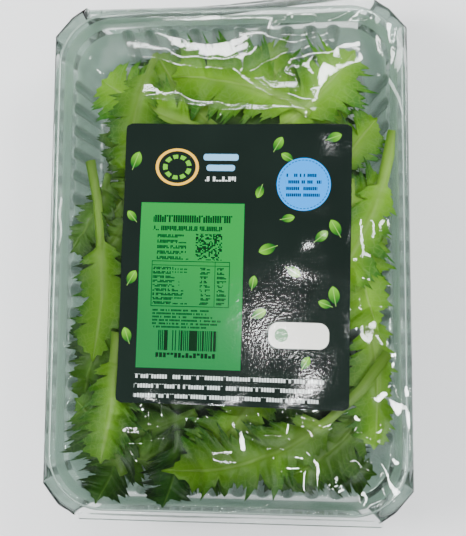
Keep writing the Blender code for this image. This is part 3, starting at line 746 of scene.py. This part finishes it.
def buildLeaf(name, node, spec, reaches, phase, pile, draw, material):
    base, tip = np.array(spec["base"], float), np.array(spec["tip"], float)
    chord = tip - base
    length = np.hypot(*chord)
    across = np.array([-chord[1], chord[0]]) / length
    control = (base + tip) / 2 + across * spec["bow"] * length * 2
    places, reach = leafOutline(spec, reaches, draw)
    t = places[:, None]
    spine = (1 - t) ** 2 * base + 2 * t * (1 - t) * control + t * t * tip
    way = 2 * (1 - t) * (control - base) + 2 * t * (tip - control)
    way /= np.linalg.norm(way, axis=1)[:, None]
    side = np.column_stack([-way[:, 1], way[:, 0]])
    ribHalf = spec["rib"] / 2 * (1 - 0.72 * np.clip(places, 0, 1))
    ribHalf[places > 0.9] *= np.clip((1.05 - places[places > 0.9]) / 0.15, 0.1, 1)

    offset = bladeColumns(spec, reach, spine, side, way, ribHalf)
    lean = np.maximum(np.abs(offset) - ribHalf[:, None], 0.0) * leaf["lean"]
    x = spine[:, :1] + side[:, :1] * offset + way[:, :1] * lean
    y = spine[:, 1:] + side[:, 1:] * offset + way[:, 1:] * lean
    wide = np.clip(np.abs(offset) / spec["half"], 0, 1)
    bend = leaf["bend"] * wide
    x, y = (x + bend * (np.sin(y / 6.1 + phase * 2) + 0.5 * np.sin(x / 3.7 + phase)),
            y + bend * (np.sin(x / 6.7 + phase * 3) + 0.5 * np.sin(y / 3.9 - phase)))
    x, y = keepInside(x, y, spec["inset"], 2.0)

    if node:
        z = blur(packedHeights(node, x, y), leaf["packedBlur"]) + leaf["blade"] / 2
    else:
        z = np.full(x.shape, float(spec["level"]))
    lobeTurn = (places[:, None] - spec["bare"]) / (0.9 - spec["bare"]) * spec["lobes"]
    ruffle, gutter = bladeRelief(spec, x, y, offset, wide, lobeTurn, ribHalf, phase)
    z = z + ruffle + gutter

    thin = leaf["thickness"] / 2
    ribShape = np.clip(1 - (np.abs(offset) / (ribHalf[:, None] + 0.01)) ** 2, 0, 1)
    rise = ribShape * leaf["ribRise"] * (1 - 0.75 * np.clip(places, 0, 1))[:, None]
    below = pile.read(x, y) + leaf["gap"] + thin + rise * 0.35
    lift = fadeOut(np.maximum(below - z, 0.0), leaf["liftFade"])
    z = z + cover(lift, *leaf["liftReach"])
    upper, lower = z + thin + rise * 0.65, z - thin - rise * 0.35
    pile.add(x, y, upper)

    points = np.concatenate([np.column_stack([x.ravel(), y.ravel(), upper.ravel()]),
                             np.column_stack([x.ravel(), y.ravel(), lower.ravel()])])
    stored = {"toEdge": wide, "tone": np.full(x.shape, spec["tone"]), "ribbed": ribShape,
              "along": np.broadcast_to(places[:, None], x.shape)}
    uv = np.column_stack([np.broadcast_to(lobeTurn, x.shape).ravel(), offset.ravel()])
    piece = makePiece(name, points, bladeFaces(*offset.shape), material, uv=np.tile(uv, (2, 1)),
                      attributes={key: np.tile(values.ravel(), 2) for key, values in stored.items()})
    finishPiece(piece, "leaf", *([node] if node else []))


def leafPaint():
    paint = Paint("leafSkin", Roughness=0.42, Specular_IOR_Level=0.35)
    toEdge, tone, ribbed = (paint.attribute(name) for name in ("toEdge", "tone", "ribbed"))
    along = paint.attribute("along")
    lobeTurn, offset, _ = paint.parts(paint.node("ShaderNodeUVMap", {"uv_map": "UVMap"}))
    patch, fine = paint.noise(55.0), paint.noise(420.0, 2.0)
    blade, edge, rib = (paint.mix(tone, *(srgb(*colour) for colour in leaf[name]))
                        for name in ("bladeColours", "edgeColours", "ribColours"))
    edgeward = paint.ease(toEdge * 0.75 + patch * 0.5 + along * 0.15, 0.35, 1.05)
    # pale ribs: the midrib, then a side vein down each lobe, then a fine net
    turn = paint.math("FRACT", lobeTurn - 0.15)
    sideVein = 1 - paint.ease(0.5 - abs(turn - 0.5), 0.0, 0.075)
    net = paint.node("ShaderNodeTexVoronoi", {"feature": "DISTANCE_TO_EDGE"},
                     {"Vector": paint.place(), "Scale": 330.0})
    netLine = (1 - paint.ease(net, 0.0, 0.10)) * 0.2
    stalk = (1 - paint.ease(abs(offset), 1.2, 4.2)) * (1 - paint.ease(along, 0.3, 0.95)) * 0.6
    pale = paint.most(paint.most(ribbed * 0.8, stalk), paint.most(sideVein * 0.22 * (1 - toEdge), netLine))
    colour = paint.mix(pale, paint.mix(edgeward, blade, edge), rib)
    height = paint.most(ribbed * 0.3, sideVein * 0.15) + netLine * 0.4 + fine * 0.2 + patch * 0.8
    return paint.wear(Base_Color=colour, Roughness=fine * 0.2 + 0.32, Normal=paint.bump(height, 0.0006, 0.5))


def drawReaches(spec, draw):
    reaches = {1: [], -1: []}
    for sign in (1, -1):
        for k in range(spec["lobes"]):
            envelope = math.sin(math.pi * min(1.0, 0.16 + 0.62 * (k + 0.5) / spec["lobes"])) ** 0.8
            reaches[sign].append(spec["half"] * envelope * draw.uniform(0.80, 1.15))
    return reaches


def buildLeaves():
    pile = Pile()
    draw = random.Random(leaf["seed"])
    toothDraw = random.Random(leaf["seed"] + 1)
    toneDraw = random.Random(leaf["seed"] + 2)
    material = leafPaint()
    low = fillSpecs(draw)
    for spec in low:
        spec["tone"] = toneDraw.uniform(0.0, 0.15)
    for number, spec in enumerate(low + topSpecs, start=1):
        draw.uniform(0.8, 1.15)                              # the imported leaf's shade
        reaches = drawReaches(spec, draw)
        phase = draw.uniform(0, 6.28)
        if number == len(low) + 1:
            for extra, between in enumerate(betweenSpecs, start=1):
                buildLeaf("small_leaf_%02d" % extra, None, between, drawReaches(between, toneDraw),
                          toneDraw.uniform(0, 6.28), pile, toothDraw, material)
        buildLeaf("salad_leaf_%02d" % number, "leaf_%02d" % number, spec, reaches, phase,
                  pile, toothDraw, material)
    return pile


pile = buildLeaves()
print("leaves laid, top at %.1f mm" % pile.height.max())


# Film bag

film = {
    "length": 256.0, "endHalfWidth": 71.9,
    "sealHeight": 22.0, "sealHalf": 0.35, "sealLength": 7.0, "farSlant": 4.0,
    "aboveLeaves": 0.3, "acrossTop": 190, "rowCounts": (4, 10, 6, 10, 230, 10, 6, 10, 5),
    "packedBlur": 24, "liftFade": 40, "liftReach": (7, 7),
    "crimpPitch": 1.4, "crimpFrom": 120.5,
    "shineColour": (0.97, 0.99, 0.985, 1.0), "clearColour": (0.97, 0.98, 0.975, 1.0),
}

creases = [  # from, to, height, and how far its left and right flanks spread
    ((68, -83), (80, -91), 0.5, 0.9, 1.2), ((66, -83), (57, -96), 0.7, 1.2, 2.5),
    ((57, -96), (46, -103), 0.6, 1.2, 2.5), ((46, -103), (58, -107), 0.5, 1.0, 1.6),
    ((69, -76), (66, -83), 0.5, 1.2, 1.6), ((66, -83), (59, -80), 0.4, 1.0, 1.4),
    ((59, -80), (69, -76), 0.4, 0.9, 1.0), ((66, -85), (73, -108), 0.8, 3.5, 1.2),
    ((60, -112), (74, -108), 0.5, 1.2, 2.4), ((73, 79), (81, 58), 0.5, 0.7, 0.9),
    ((66, 108), (72, 84), 0.9, 2.6, 3.2), ((78, 104), (76, 82), 0.6, 1.6, 1.2),
    ((30, 114), (22, 104), 0.4, 0.7, 0.7), ((56, 112), (44, 106), 0.5, 1.4, 1.0),
    ((44, 106), (46, 98), 0.5, 1.4, 1.4), ((46, 98), (26, 92), 0.5, 1.6, 1.2),
    ((26, 92), (10, 84), 0.6, 1.6, 2.0), ((-48, 93), (-30, 90), 0.5, 1.4, 2.4),
    ((-30, 90), (-14, 86), 0.5, 1.4, 2.4), ((-14, 86), (2, 86), 0.5, 1.4, 2.0),
    ((-38, 71), (-24, 71), 0.45, 0.9, 1.2), ((-24, 71), (-4, 66), 0.45, 0.9, 1.2),
    ((-4, 66), (37, 65), 0.55, 1.2, 1.8), ((2, 85), (14, 75), 0.5, 1.2, 1.8),
    ((14, 75), (37, 65), 0.5, 1.2, 1.8), ((-48, -71), (-22, -76), 0.35, 0.8, 0.8),
    ((-48, -71), (-30, -66), 0.3, 0.8, 0.8), ((-44, -90), (-30, -82), 0.5, 0.9, 1.6),
    ((30, -72), (42, -76), 0.5, 1.4, 1.2), ((42, -76), (56, -70), 0.5, 1.4, 1.2),
    ((-76, 30), (-74, -40), 0.3, 0.8, 1.0), ((76, -30), (74, -60), 0.5, 1.0, 1.6),
    ((-70, 96), (-60, 84), 0.4, 1.0, 1.2), ((81, -92), (77, -103), 0.4, 0.8, 0.8),
]


# Sections down the bag: y, half widths at floor, wall and rim, then heights of the same and the top.
def filmSections():
    near, far = -film["length"] / 2 - trayShiftY, film["length"] / 2 - film["farSlant"] - trayShiftY
    seal, half = film["sealHeight"], film["sealHalf"]
    full = (70.4, 73.3, 82.5, 0.02, 5.0, 39.4, 43.15)
    closing = (66.0, 69.0, 75.0, 7.0, 12.0, 38.6, 43.1)
    edge = (63.0, 65.0, 68.0, 13.0, 17.0, 37.0, 42.9)
    flat = (71.0, 71.4, film["endHalfWidth"], seal - half, seal - 0.2, seal + 0.2, seal + half)
    keys = [(near, flat), (near + film["sealLength"] - 3.0, flat), (-117.4, edge), (-112.5, closing),
            (-103.5, full), (103.5, full), (112.5, closing), (117.4, edge), (far - film["sealLength"], flat),
            (far, flat)]
    return np.array([[y, *section] for y, section in keys])


# Slack in the film: ridges across both ends, pleats along the sides and a loose crumple.
def filmWaves(x, y):
    ends, sides = smoothstep(y, 40, 92) + 0.25 * smoothstep(-y, 60, 92), smoothstep(np.abs(x), 52, 76)
    warp = 4 * np.sin(x / 23 + 0.6) + 2.5 * np.sin(x / 11.3 + y / 31)
    waves = 0.13 * ends * np.sin((y + warp) * 2 * math.pi / 27)
    waves += 0.16 * np.sin((x * 0.8 + y * 0.6) / 13 + 1.7 * np.sin(y / 29)) * np.sin((x * 0.5 - y * 0.9) / 21)
    waves += 0.05 * sides * np.sin(x * 2 * math.pi / 9 + 2 * np.sin(y / 33))
    for (x0, y0), (x1, y1), height, left, right in creases:
        length = math.hypot(x1 - x0, y1 - y0)
        ux, uy = (x1 - x0) / length, (y1 - y0) / length
        along = (x - x0) * ux + (y - y0) * uy
        off = (x - x0) * uy - (y - y0) * ux + 0.4 * np.sin(along / 2.3 + x0)
        over = np.maximum(np.maximum(-along, along - length), 0)
        spread = np.where(off > 0, right, left) * 1.6
        waves += height / (1 + (off / spread) ** 2) * np.exp(-(over / 2.5) ** 2)
    return waves


def filmPaint():
    paint = Paint("clearFilm", Roughness=0.05, Metallic=1.0, Base_Color=film["shineColour"])
    crinkle, fine = paint.noise(90.0, 2.0), paint.noise(420.0, 2.0)
    _, y, _ = paint.parts(paint.place())
    sealed = abs(y) > film["crimpFrom"] * mm
    crimp = paint.math("SINE", y * (2 * math.pi / (film["crimpPitch"] * mm))) * sealed * 0.12
    normal = paint.bump(crinkle + fine * 0.04 + crimp, 0.0002, 0.5)
    glance = paint.node("ShaderNodeFresnel", None, {"IOR": 1.5, "Normal": normal})
    paint.wear(Normal=normal)
    return paint.seeThrough(glance + 0.01, film["clearColour"])


def buildFilm(pile):
    keys = filmSections()
    ys = []
    for a, b, count in zip(keys[:-1, 0], keys[1:, 0], film["rowCounts"]):
        ys += list(a + (b - a) * np.arange(count) / count)
    ys = np.array(ys + [keys[-1, 0]])
    sections = np.column_stack([np.interp(ys, keys[:, 0], keys[:, k]) for k in range(1, 8)])
    over = film["acrossTop"]
    rings = []
    for y, (floor, wall, rim, zFloor, zWall, zRim, zTop) in zip(ys, sections):
        shoulder = rim - 1.2
        right = [(floor * share, zFloor) for share in np.linspace(0, 1, 9)[:-1]]
        right += [(floor + (wall - floor) * s, zFloor + (zWall - zFloor) * s) for s in (0.0, 0.35, 0.7)]
        right += [(wall + (rim - wall) * s, zWall + (zRim - zWall) * s) for s in np.linspace(0, 1, 9)]
        right += [(rim + (shoulder - rim) * (1 - math.cos(a)), zRim + (zTop - zRim) * math.sin(a))
                  for a in (0.4, 0.8, 1.2)]
        top = [(shoulder * s, zTop) for s in np.linspace(1, -1, over + 1)]
        rings.append([(px, y, pz) for px, pz in right + top + [(-px, pz) for px, pz in reversed(right[1:])]])
    rings = np.array(rings)
    rows, columns = rings.shape[:2]
    first = len(right)                          # the top's first column
    topPart = rings[:, first:first + over + 1]
    x, y, z = topPart[:, :, 0], topPart[:, :, 1], topPart[:, :, 2]
    packed = heightsAt(surfaceTree(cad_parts["film_bag"]), x, y)
    packed = blur(np.where(np.isnan(packed), z, np.maximum(packed, z)), film["packedBlur"])
    taut = np.minimum(smoothstep(sections[:, 2, None] - np.abs(x), 0, 7), smoothstep(119.0 - np.abs(y), 0, 9))
    stiff = 1 - 0.7 * smoothstep(56.0 - np.abs(x - 4), 0, 6) * smoothstep(68.0 - np.abs(y + 4.5), 0, 6)
    z = packed + filmWaves(x, y) * taut * stiff
    inside = (np.abs(y) < 114.0) & (rimDistance(x, y) < 1.0)
    lift = np.where(inside, np.maximum(pile.read(x, y) + film["aboveLeaves"] - z, 0.0), 0.0)
    topPart[:, :, 2] = z + cover(fadeOut(lift, film["liftFade"]), *film["liftReach"])
    far = rings[:, :, 1] > 117.5
    rings[:, :, 1] += np.where(far, film["farSlant"] * rings[:, :, 0] / film["endHalfWidth"], 0.0)
    faces = gridFaces(rows, columns, 0, False, True)
    faces.append(list(range(columns))[::-1])
    faces.append([(rows - 1) * columns + j for j in range(columns)])
    piece = makePiece("filmBag", rings.reshape(-1, 3), faces, filmPaint())
    mergeAndTurn(piece)
    finishPiece(piece, "film", "film_bag")
    print("film top at %.1f mm" % rings[:, :, 2].max())
    return piece


filmPiece = buildFilm(pile)
print("film wrapped")


# Label, with a plain design of its own. Its pattern's u and v are millimetres from the lower left corner.

label = {
    "width": 103.0, "length": 127.0, "thickness": 0.15, "radius": 2.5, "aboveFilm": 0.1,
    "centre": (4.0, -4.5), "turn": -1.2, "columns": 90, "rows": 110,
    "blur": 30,                                # times that the film under it is smoothed
    "panel": (8.2, 15.6, 55.3, 90.4),          # left, bottom, right, top
    "disc": (81.7, 99.5, 12.1), "plate": (67.5, 26.0, 94.0, 37.5), "mark": (24, 107),
    "colours": {                               # as a screen shows them
        "ground": (16, 25, 21), "groundLight": (24, 35, 30), "sprigFoot": (16, 84, 26),
        "sprigTip": (104, 172, 40), "sprigRib": (150, 200, 96), "panelFoot": (26, 114, 58),
        "panelTop": (26, 138, 56), "panelInk": (8, 26, 14), "oval": (246, 190, 66),
        "petals": (104, 178, 44), "strips": (128, 192, 236), "markPrint": (226, 232, 228),
        "disc": (8, 150, 246), "stitches": (16, 50, 90), "discPrint": (10, 30, 62),
        "plate": (244, 244, 236), "spot": (58, 130, 74), "smallPrint": (205, 214, 210),
    },
}

panelPrint = [  # left, bottom, right, top, row pitch, share of it inked, letter pitch, seed, raggedness
    (14, 81.4, 51, 84.8, 3.5, 0.95, 1.05, 3.0, 0.1), (14, 77.6, 46, 79.8, 2.3, 0.95, 0.8, 4.0, 0.2),
    (16, 64.4, 31, 76.9, 2.5, 0.6, 0.6, 5.0, 0.4), (14.6, 44.2, 33, 61.6, 1.95, 0.62, 0.6, 7.0, 0.6),
    (36, 44.2, 41, 61.6, 1.95, 0.62, 0.6, 8.0, 0.5), (43.6, 44.2, 48, 61.6, 1.95, 0.62, 0.6, 9.0, 0.5),
    (15, 33.6, 47, 42.4, 1.5, 0.55, 0.6, 10.0, 0.25), (17, 20.4, 44.6, 22.6, 2.4, 0.9, 1.7, 12.0, 0.0),
]

sprigs = [  # middle, angle in degrees, length
    (70, 118, 60, 7), (74, 112, 150, 6), (95, 121, 20, 7), (62, 96, 250, 6), (96, 80, 120, 8),
    (90, 76, 40, 7), (66, 70, 200, 8), (60, 55, 80, 6), (78, 60, 330, 7), (96, 50, 100, 8),
    (92, 46, 160, 6), (63, 41, 30, 7), (5, 110, 70, 8), (4, 84, 130, 6), (5, 56, 60, 7),
    (3.5, 30, 110, 7), (75, 84, 10, 6), (84, 20, 60, 6),
]


class Artwork(Paint):           # flat print, its u and v in millimetres from the lower left corner
    edge = 0.12                 # half width of a printed edge

    def __init__(self, name, **constants):
        super().__init__(name, **constants)
        uPart, vPart, _ = self.parts(self.node("ShaderNodeUVMap", {"uv_map": "UVMap"}))
        self.u, self.v = uPart * 100.0, vPart * 100.0
        self.colour = self.mix(self.noise(30.0), self.tint("ground"), self.tint("groundLight"))

    def tint(self, name):
        return srgb(*label["colours"][name])

    def lay(self, mask, colour):
        self.colour = self.mix(mask, self.colour, self.tint(colour) if isinstance(colour, str) else colour)

    def inside(self, distance):
        return 1 - self.ease(distance, -self.edge, self.edge)

    def reach(self, across, along):
        return self.math("SQRT", across * across + along * along)

    def box(self, left, bottom, right, top, corner=0.0):
        across = abs(self.u - (left + right) / 2) - ((right - left) / 2 - corner)
        along = abs(self.v - (bottom + top) / 2) - ((top - bottom) / 2 - corner)
        if corner == 0:
            return self.inside(self.most(across, along))
        return self.inside(self.reach(self.most(across, 0.0), self.most(along, 0.0)) - corner)

    def circle(self, middleU, middleV, radius):
        return self.reach(self.u - middleU, self.v - middleV) - radius

    def turns(self, middleU, middleV, count):       # equal shares round a middle, each from 0 to 1
        angle = self.math("ARCTAN2", self.v - middleV, self.u - middleU)
        return self.math("FRACT", angle * (count / (2 * math.pi)))

    def scatter(self, across, along, seed):         # a random value for each cell
        column, row = self.math("FLOOR", self.u / across), self.math("FLOOR", self.v / along)
        cell = self.node("ShaderNodeCombineXYZ", None, {0: column, 1: row, 2: seed})
        return self.node("ShaderNodeTexWhiteNoise", {"noise_dimensions": "3D"}, {"Vector": cell})

    # Rows of small blocks that stand for print, with no letters in them.
    def greeked(self, left, bottom, right, top, pitch, fill, cell, seed, ragged):
        row = self.math("FRACT", (self.v - bottom) / pitch) < fill
        blocks = self.scatter(cell, pitch, seed) > 0.22         # the rest are gaps between words
        ends = self.scatter(400.0, pitch, seed + 0.5) * ragged * (right - left)
        letters = self.math("FRACT", self.u / cell) < 0.76
        return self.box(left, bottom, right, top) * row * blocks * letters * (self.u < right - ends)


def printSprigs(art):
    for middleU, middleV, angle, length in sprigs:
        ca, sa = math.cos(math.radians(angle)), math.sin(math.radians(angle))
        along = (art.u - middleU) * ca + (art.v - middleV) * sa
        off = abs((art.v - middleV) * ca - (art.u - middleU) * sa)
        width = length * 0.30
        radius = (length ** 2 / 4 + width ** 2) / (2 * width)        # of the two arcs that meet at its tips
        rib = art.inside(off - 0.16) * 0.6 * (along > -length * 0.62) * (along < length * 0.4)
        shade = art.mix(art.ease(along, -length / 2, length / 2), art.tint("sprigFoot"), art.tint("sprigTip"))
        art.lay(art.inside(art.reach(along, off + (radius - width)) - radius), shade)
        art.lay(rib, "sprigRib")


def printPanel(art):
    left, bottom, right, top = label["panel"]
    upward = art.ease(art.v + (art.u - 30) * 0.4, bottom, top)
    art.lay(art.box(left, bottom, right, top), art.mix(upward, art.tint("panelFoot"), art.tint("panelTop")))
    dots = art.scatter(0.6, 0.6, 6.0) > 0.48
    bars = art.math("FRACT", art.scatter(0.42, 400.0, 11.0) * 7.3) > 0.45
    tableLine = art.box(14, 43.2, 49.4, 63.8) * (1 - art.box(14.3, 43.5, 49.1, 63.5))
    ink = art.most(art.box(33.6, 64.4, 45.6, 76.4) * dots, art.box(18, 23.6, 44.6, 32.6) * bars)
    for mask in (tableLine, art.box(14, 61.7, 49.4, 61.95), art.box(42.6, 43.2, 42.85, 63.8)):
        ink = art.most(ink, mask)
    for values in panelPrint:
        ink = art.most(ink, art.greeked(*values))
    art.lay(ink * 0.94, "panelInk")


def printMark(art):             # an oval wreath beside two plain strips
    middleU, middleV = label["mark"]
    across, along = art.u - middleU, art.v - middleV
    oval = art.math("SQRT", across * across * 0.75 + along * along) - 8.0
    petals = abs(art.turns(middleU, middleV, 9) - 0.5) < 0.33
    art.lay(art.inside(abs(oval) - 0.6), "oval")
    art.lay(art.inside(abs(oval + 3.2) - 0.9) * petals, "petals")
    art.lay(art.most(art.box(36, 110.2, 52, 113.2, 1.2), art.box(37.5, 105.4, 50.5, 108.2, 1.2)), "strips")
    art.lay(art.greeked(37, 100.6, 51, 102.8, 2.3, 0.95, 1.4, 13.0, 0.0), "markPrint")


def printDisc(art):             # a disc with a stitched ring
    middleU, middleV, radius = label["disc"]
    dashes = art.turns(middleU, middleV, 44) < 0.62
    art.lay(art.inside(art.circle(middleU, middleV, radius)), "disc")
    art.lay(art.inside(abs(art.circle(middleU, middleV, radius - 1.0)) - 0.16) * dashes, "stitches")
    art.lay(art.greeked(middleU - 8, middleV - 5.6, middleU + 8, middleV + 5.8, 3.0, 0.5, 0.85, 14.0, 0.12),
            "discPrint")


def labelPaint():
    art = Artwork("labelPrint", Roughness=0.09, Specular_IOR_Level=0.5)
    for printPart in (printSprigs, printPanel, printMark, printDisc):
        printPart(art)
    art.lay(art.box(*label["plate"], 4.5), "plate")
    art.lay(art.inside(art.circle(label["plate"][0] + 5.6, 31.8, 3.0)) * 0.9, "spot")
    art.lay(art.greeked(8, 2.6, 99, 14.6, 4.2, 0.42, 1.2, 15.0, 0.15), "smallPrint")
    dimples, swell = art.noise(900.0, 2.0), art.noise(260.0, 2.0)
    normal = art.bump(dimples * 0.06 + swell * 0.05, 0.0006)
    return art.wear(Base_Color=art.colour, Normal=normal)


def buildLabel(filmObject):
    columns, rows = label["columns"], label["rows"]
    halfX, halfY, radius = label["width"] / 2, label["length"] / 2, label["radius"]
    u, v = np.meshgrid(np.linspace(-1, 1, columns), np.linspace(-1, 1, rows))
    y = v * halfY
    over = np.maximum(np.abs(y) - (halfY - radius), 0)              # rounded corners pull the sides in
    x = u * (halfX - radius + np.sqrt(np.maximum(radius ** 2 - over ** 2, 0)))
    turn = math.radians(label["turn"])
    px = x * math.cos(turn) - y * math.sin(turn) + label["centre"][0]
    py = x * math.sin(turn) + y * math.cos(turn) + label["centre"][1]
    onFilm = heightsAt(surfaceTree(filmObject), px, py) + label["aboveFilm"]
    z = blur(onFilm, label["blur"])
    z += np.maximum(onFilm - z, 0).max() * 0.5
    count = columns * rows
    points = np.concatenate([np.column_stack([px.ravel(), py.ravel(), z.ravel() + label["thickness"]]),
                             np.column_stack([px.ravel(), py.ravel(), z.ravel()])])
    faces = gridFaces(rows, columns, 0, False) + gridFaces(rows, columns, count, True)
    border = [j for j in range(columns)] + [i * columns + columns - 1 for i in range(1, rows)]
    border += [(rows - 1) * columns + j for j in range(columns - 2, -1, -1)]
    border += [i * columns for i in range(rows - 2, 0, -1)]
    for a, b in zip(border, border[1:] + border[:1]):
        faces.append((b, a, a + count, b + count))
    uv = np.column_stack([(x.ravel() + halfX) / 100, (y.ravel() + halfY) / 100])
    piece = makePiece("labelSheet", points, faces, labelPaint(), uv=np.tile(uv, (2, 1)))
    piece.data.set_sharp_from_angle(angle=math.radians(40))
    finishPiece(piece, "label", "label")
    print("label top at %.1f mm" % (z.max() + label["thickness"]))
    return piece


labelPiece = buildLabel(filmPiece)
print("label stuck on")


# Glints: lamps hung where each one mirrors in the film or the label

glints = {  # surface, middle x and y, share of it the slope is read from, across, along, degrees, brightness
    "labelMiddle": ("label", 38.0, -61.0, 1.0, 11.0, 8.0, 4.0, 140.0),
    "nearRight": ("film", 71.5, -99.0, 0.2, 20.0, 44.0, -8.0, 60.0),
    "nearFold": ("film", 60.0, -98.0, 1.0, 22.0, 1.8, 42.0, 60.0),
    "rightMiddle": ("film", 70.0, -40.0, 1.0, 14.0, 5.0, -62.0, 45.0),
    "labelCorner": ("film", 45.0, -76.5, 1.0, 24.0, 3.5, 0.0, 50.0),
    "nearLeft": ("film", -36.0, -77.0, 1.0, 27.0, 2.2, -15.0, 60.0),
    "nearLeftEnd": ("film", -37.0, -92.0, 1.0, 16.0, 3.2, 22.0, 60.0),
    "farLeft": ("film", -23.0, 91.7, 1.0, 50.0, 3.2, -9.0, 60.0),
    "farMiddle": ("film", -24.0, 71.0, 1.0, 30.0, 2.4, -3.0, 60.0),
    "farMiddleRight": ("film", 14.5, 65.0, 1.0, 46.0, 2.6, -4.0, 60.0),
    "farBranch": ("film", 24.0, 71.6, 1.0, 34.0, 2.8, -26.0, 60.0),
    "farSparkle": ("film", 6.7, 81.6, 1.0, 7.0, 10.0, 0.0, 50.0),
    "farBlob": ("film", 40.6, 89.8, 1.0, 20.0, 7.0, 0.0, 50.0),
    "farLine": ("film", 55.0, 92.0, 1.0, 30.0, 3.0, 14.0, 55.0),
    "farRight": ("film", 74.0, 98.0, 0.3, 14.0, 30.0, 0.0, 50.0),
}


glintHeight = 1150.0            # of the lamps above the floor


def addGlints(surfaces):
    eye, high = Vector(camera["place"]) * mm, glintHeight * mm
    trees = {name: surfaceTree(piece) for name, piece in surfaces.items()}
    for name, (surface, x, y, read, across, along, turn, brightness) in glints.items():
        angle = math.radians(turn)
        point, normal, hits = Vector(), Vector(), 0
        for i in range(25):                              # five by five rays over the part that is read
            a, b = (i % 5 - 2) / 4 * across * read, (i // 5 - 2) / 4 * max(along, 4.0) * read
            start = Vector((x + a * math.cos(angle) - b * math.sin(angle),
                            y + a * math.sin(angle) + b * math.cos(angle), 100.0)) * mm
            hit, way = trees[surface].ray_cast(start, Vector((0, 0, -1)))[:2]
            if hit is not None:
                point += hit
                normal += way if way.z > 0 else -way
                hits += 1
        point /= hits
        away = (point - eye).reflect(normal.normalized())
        place = point + away * ((high - point.z) / away.z)
        spread = 1 + (place - point).length / (point - eye).length
        data = bpy.data.lights.new(name, "AREA")
        data.shape, data.size, data.size_y = "ELLIPSE", across * spread * mm, along * spread * mm
        data.energy = brightness * math.pi * data.size * data.size_y
        lamp = bpy.data.objects.new(name, data)
        lamp.location = place
        lamp.rotation_euler = (0, 0, angle)
        bpy.context.scene.collection.objects.link(lamp)


addGlints({"film": filmPiece, "label": labelPiece})
print("glints hung")
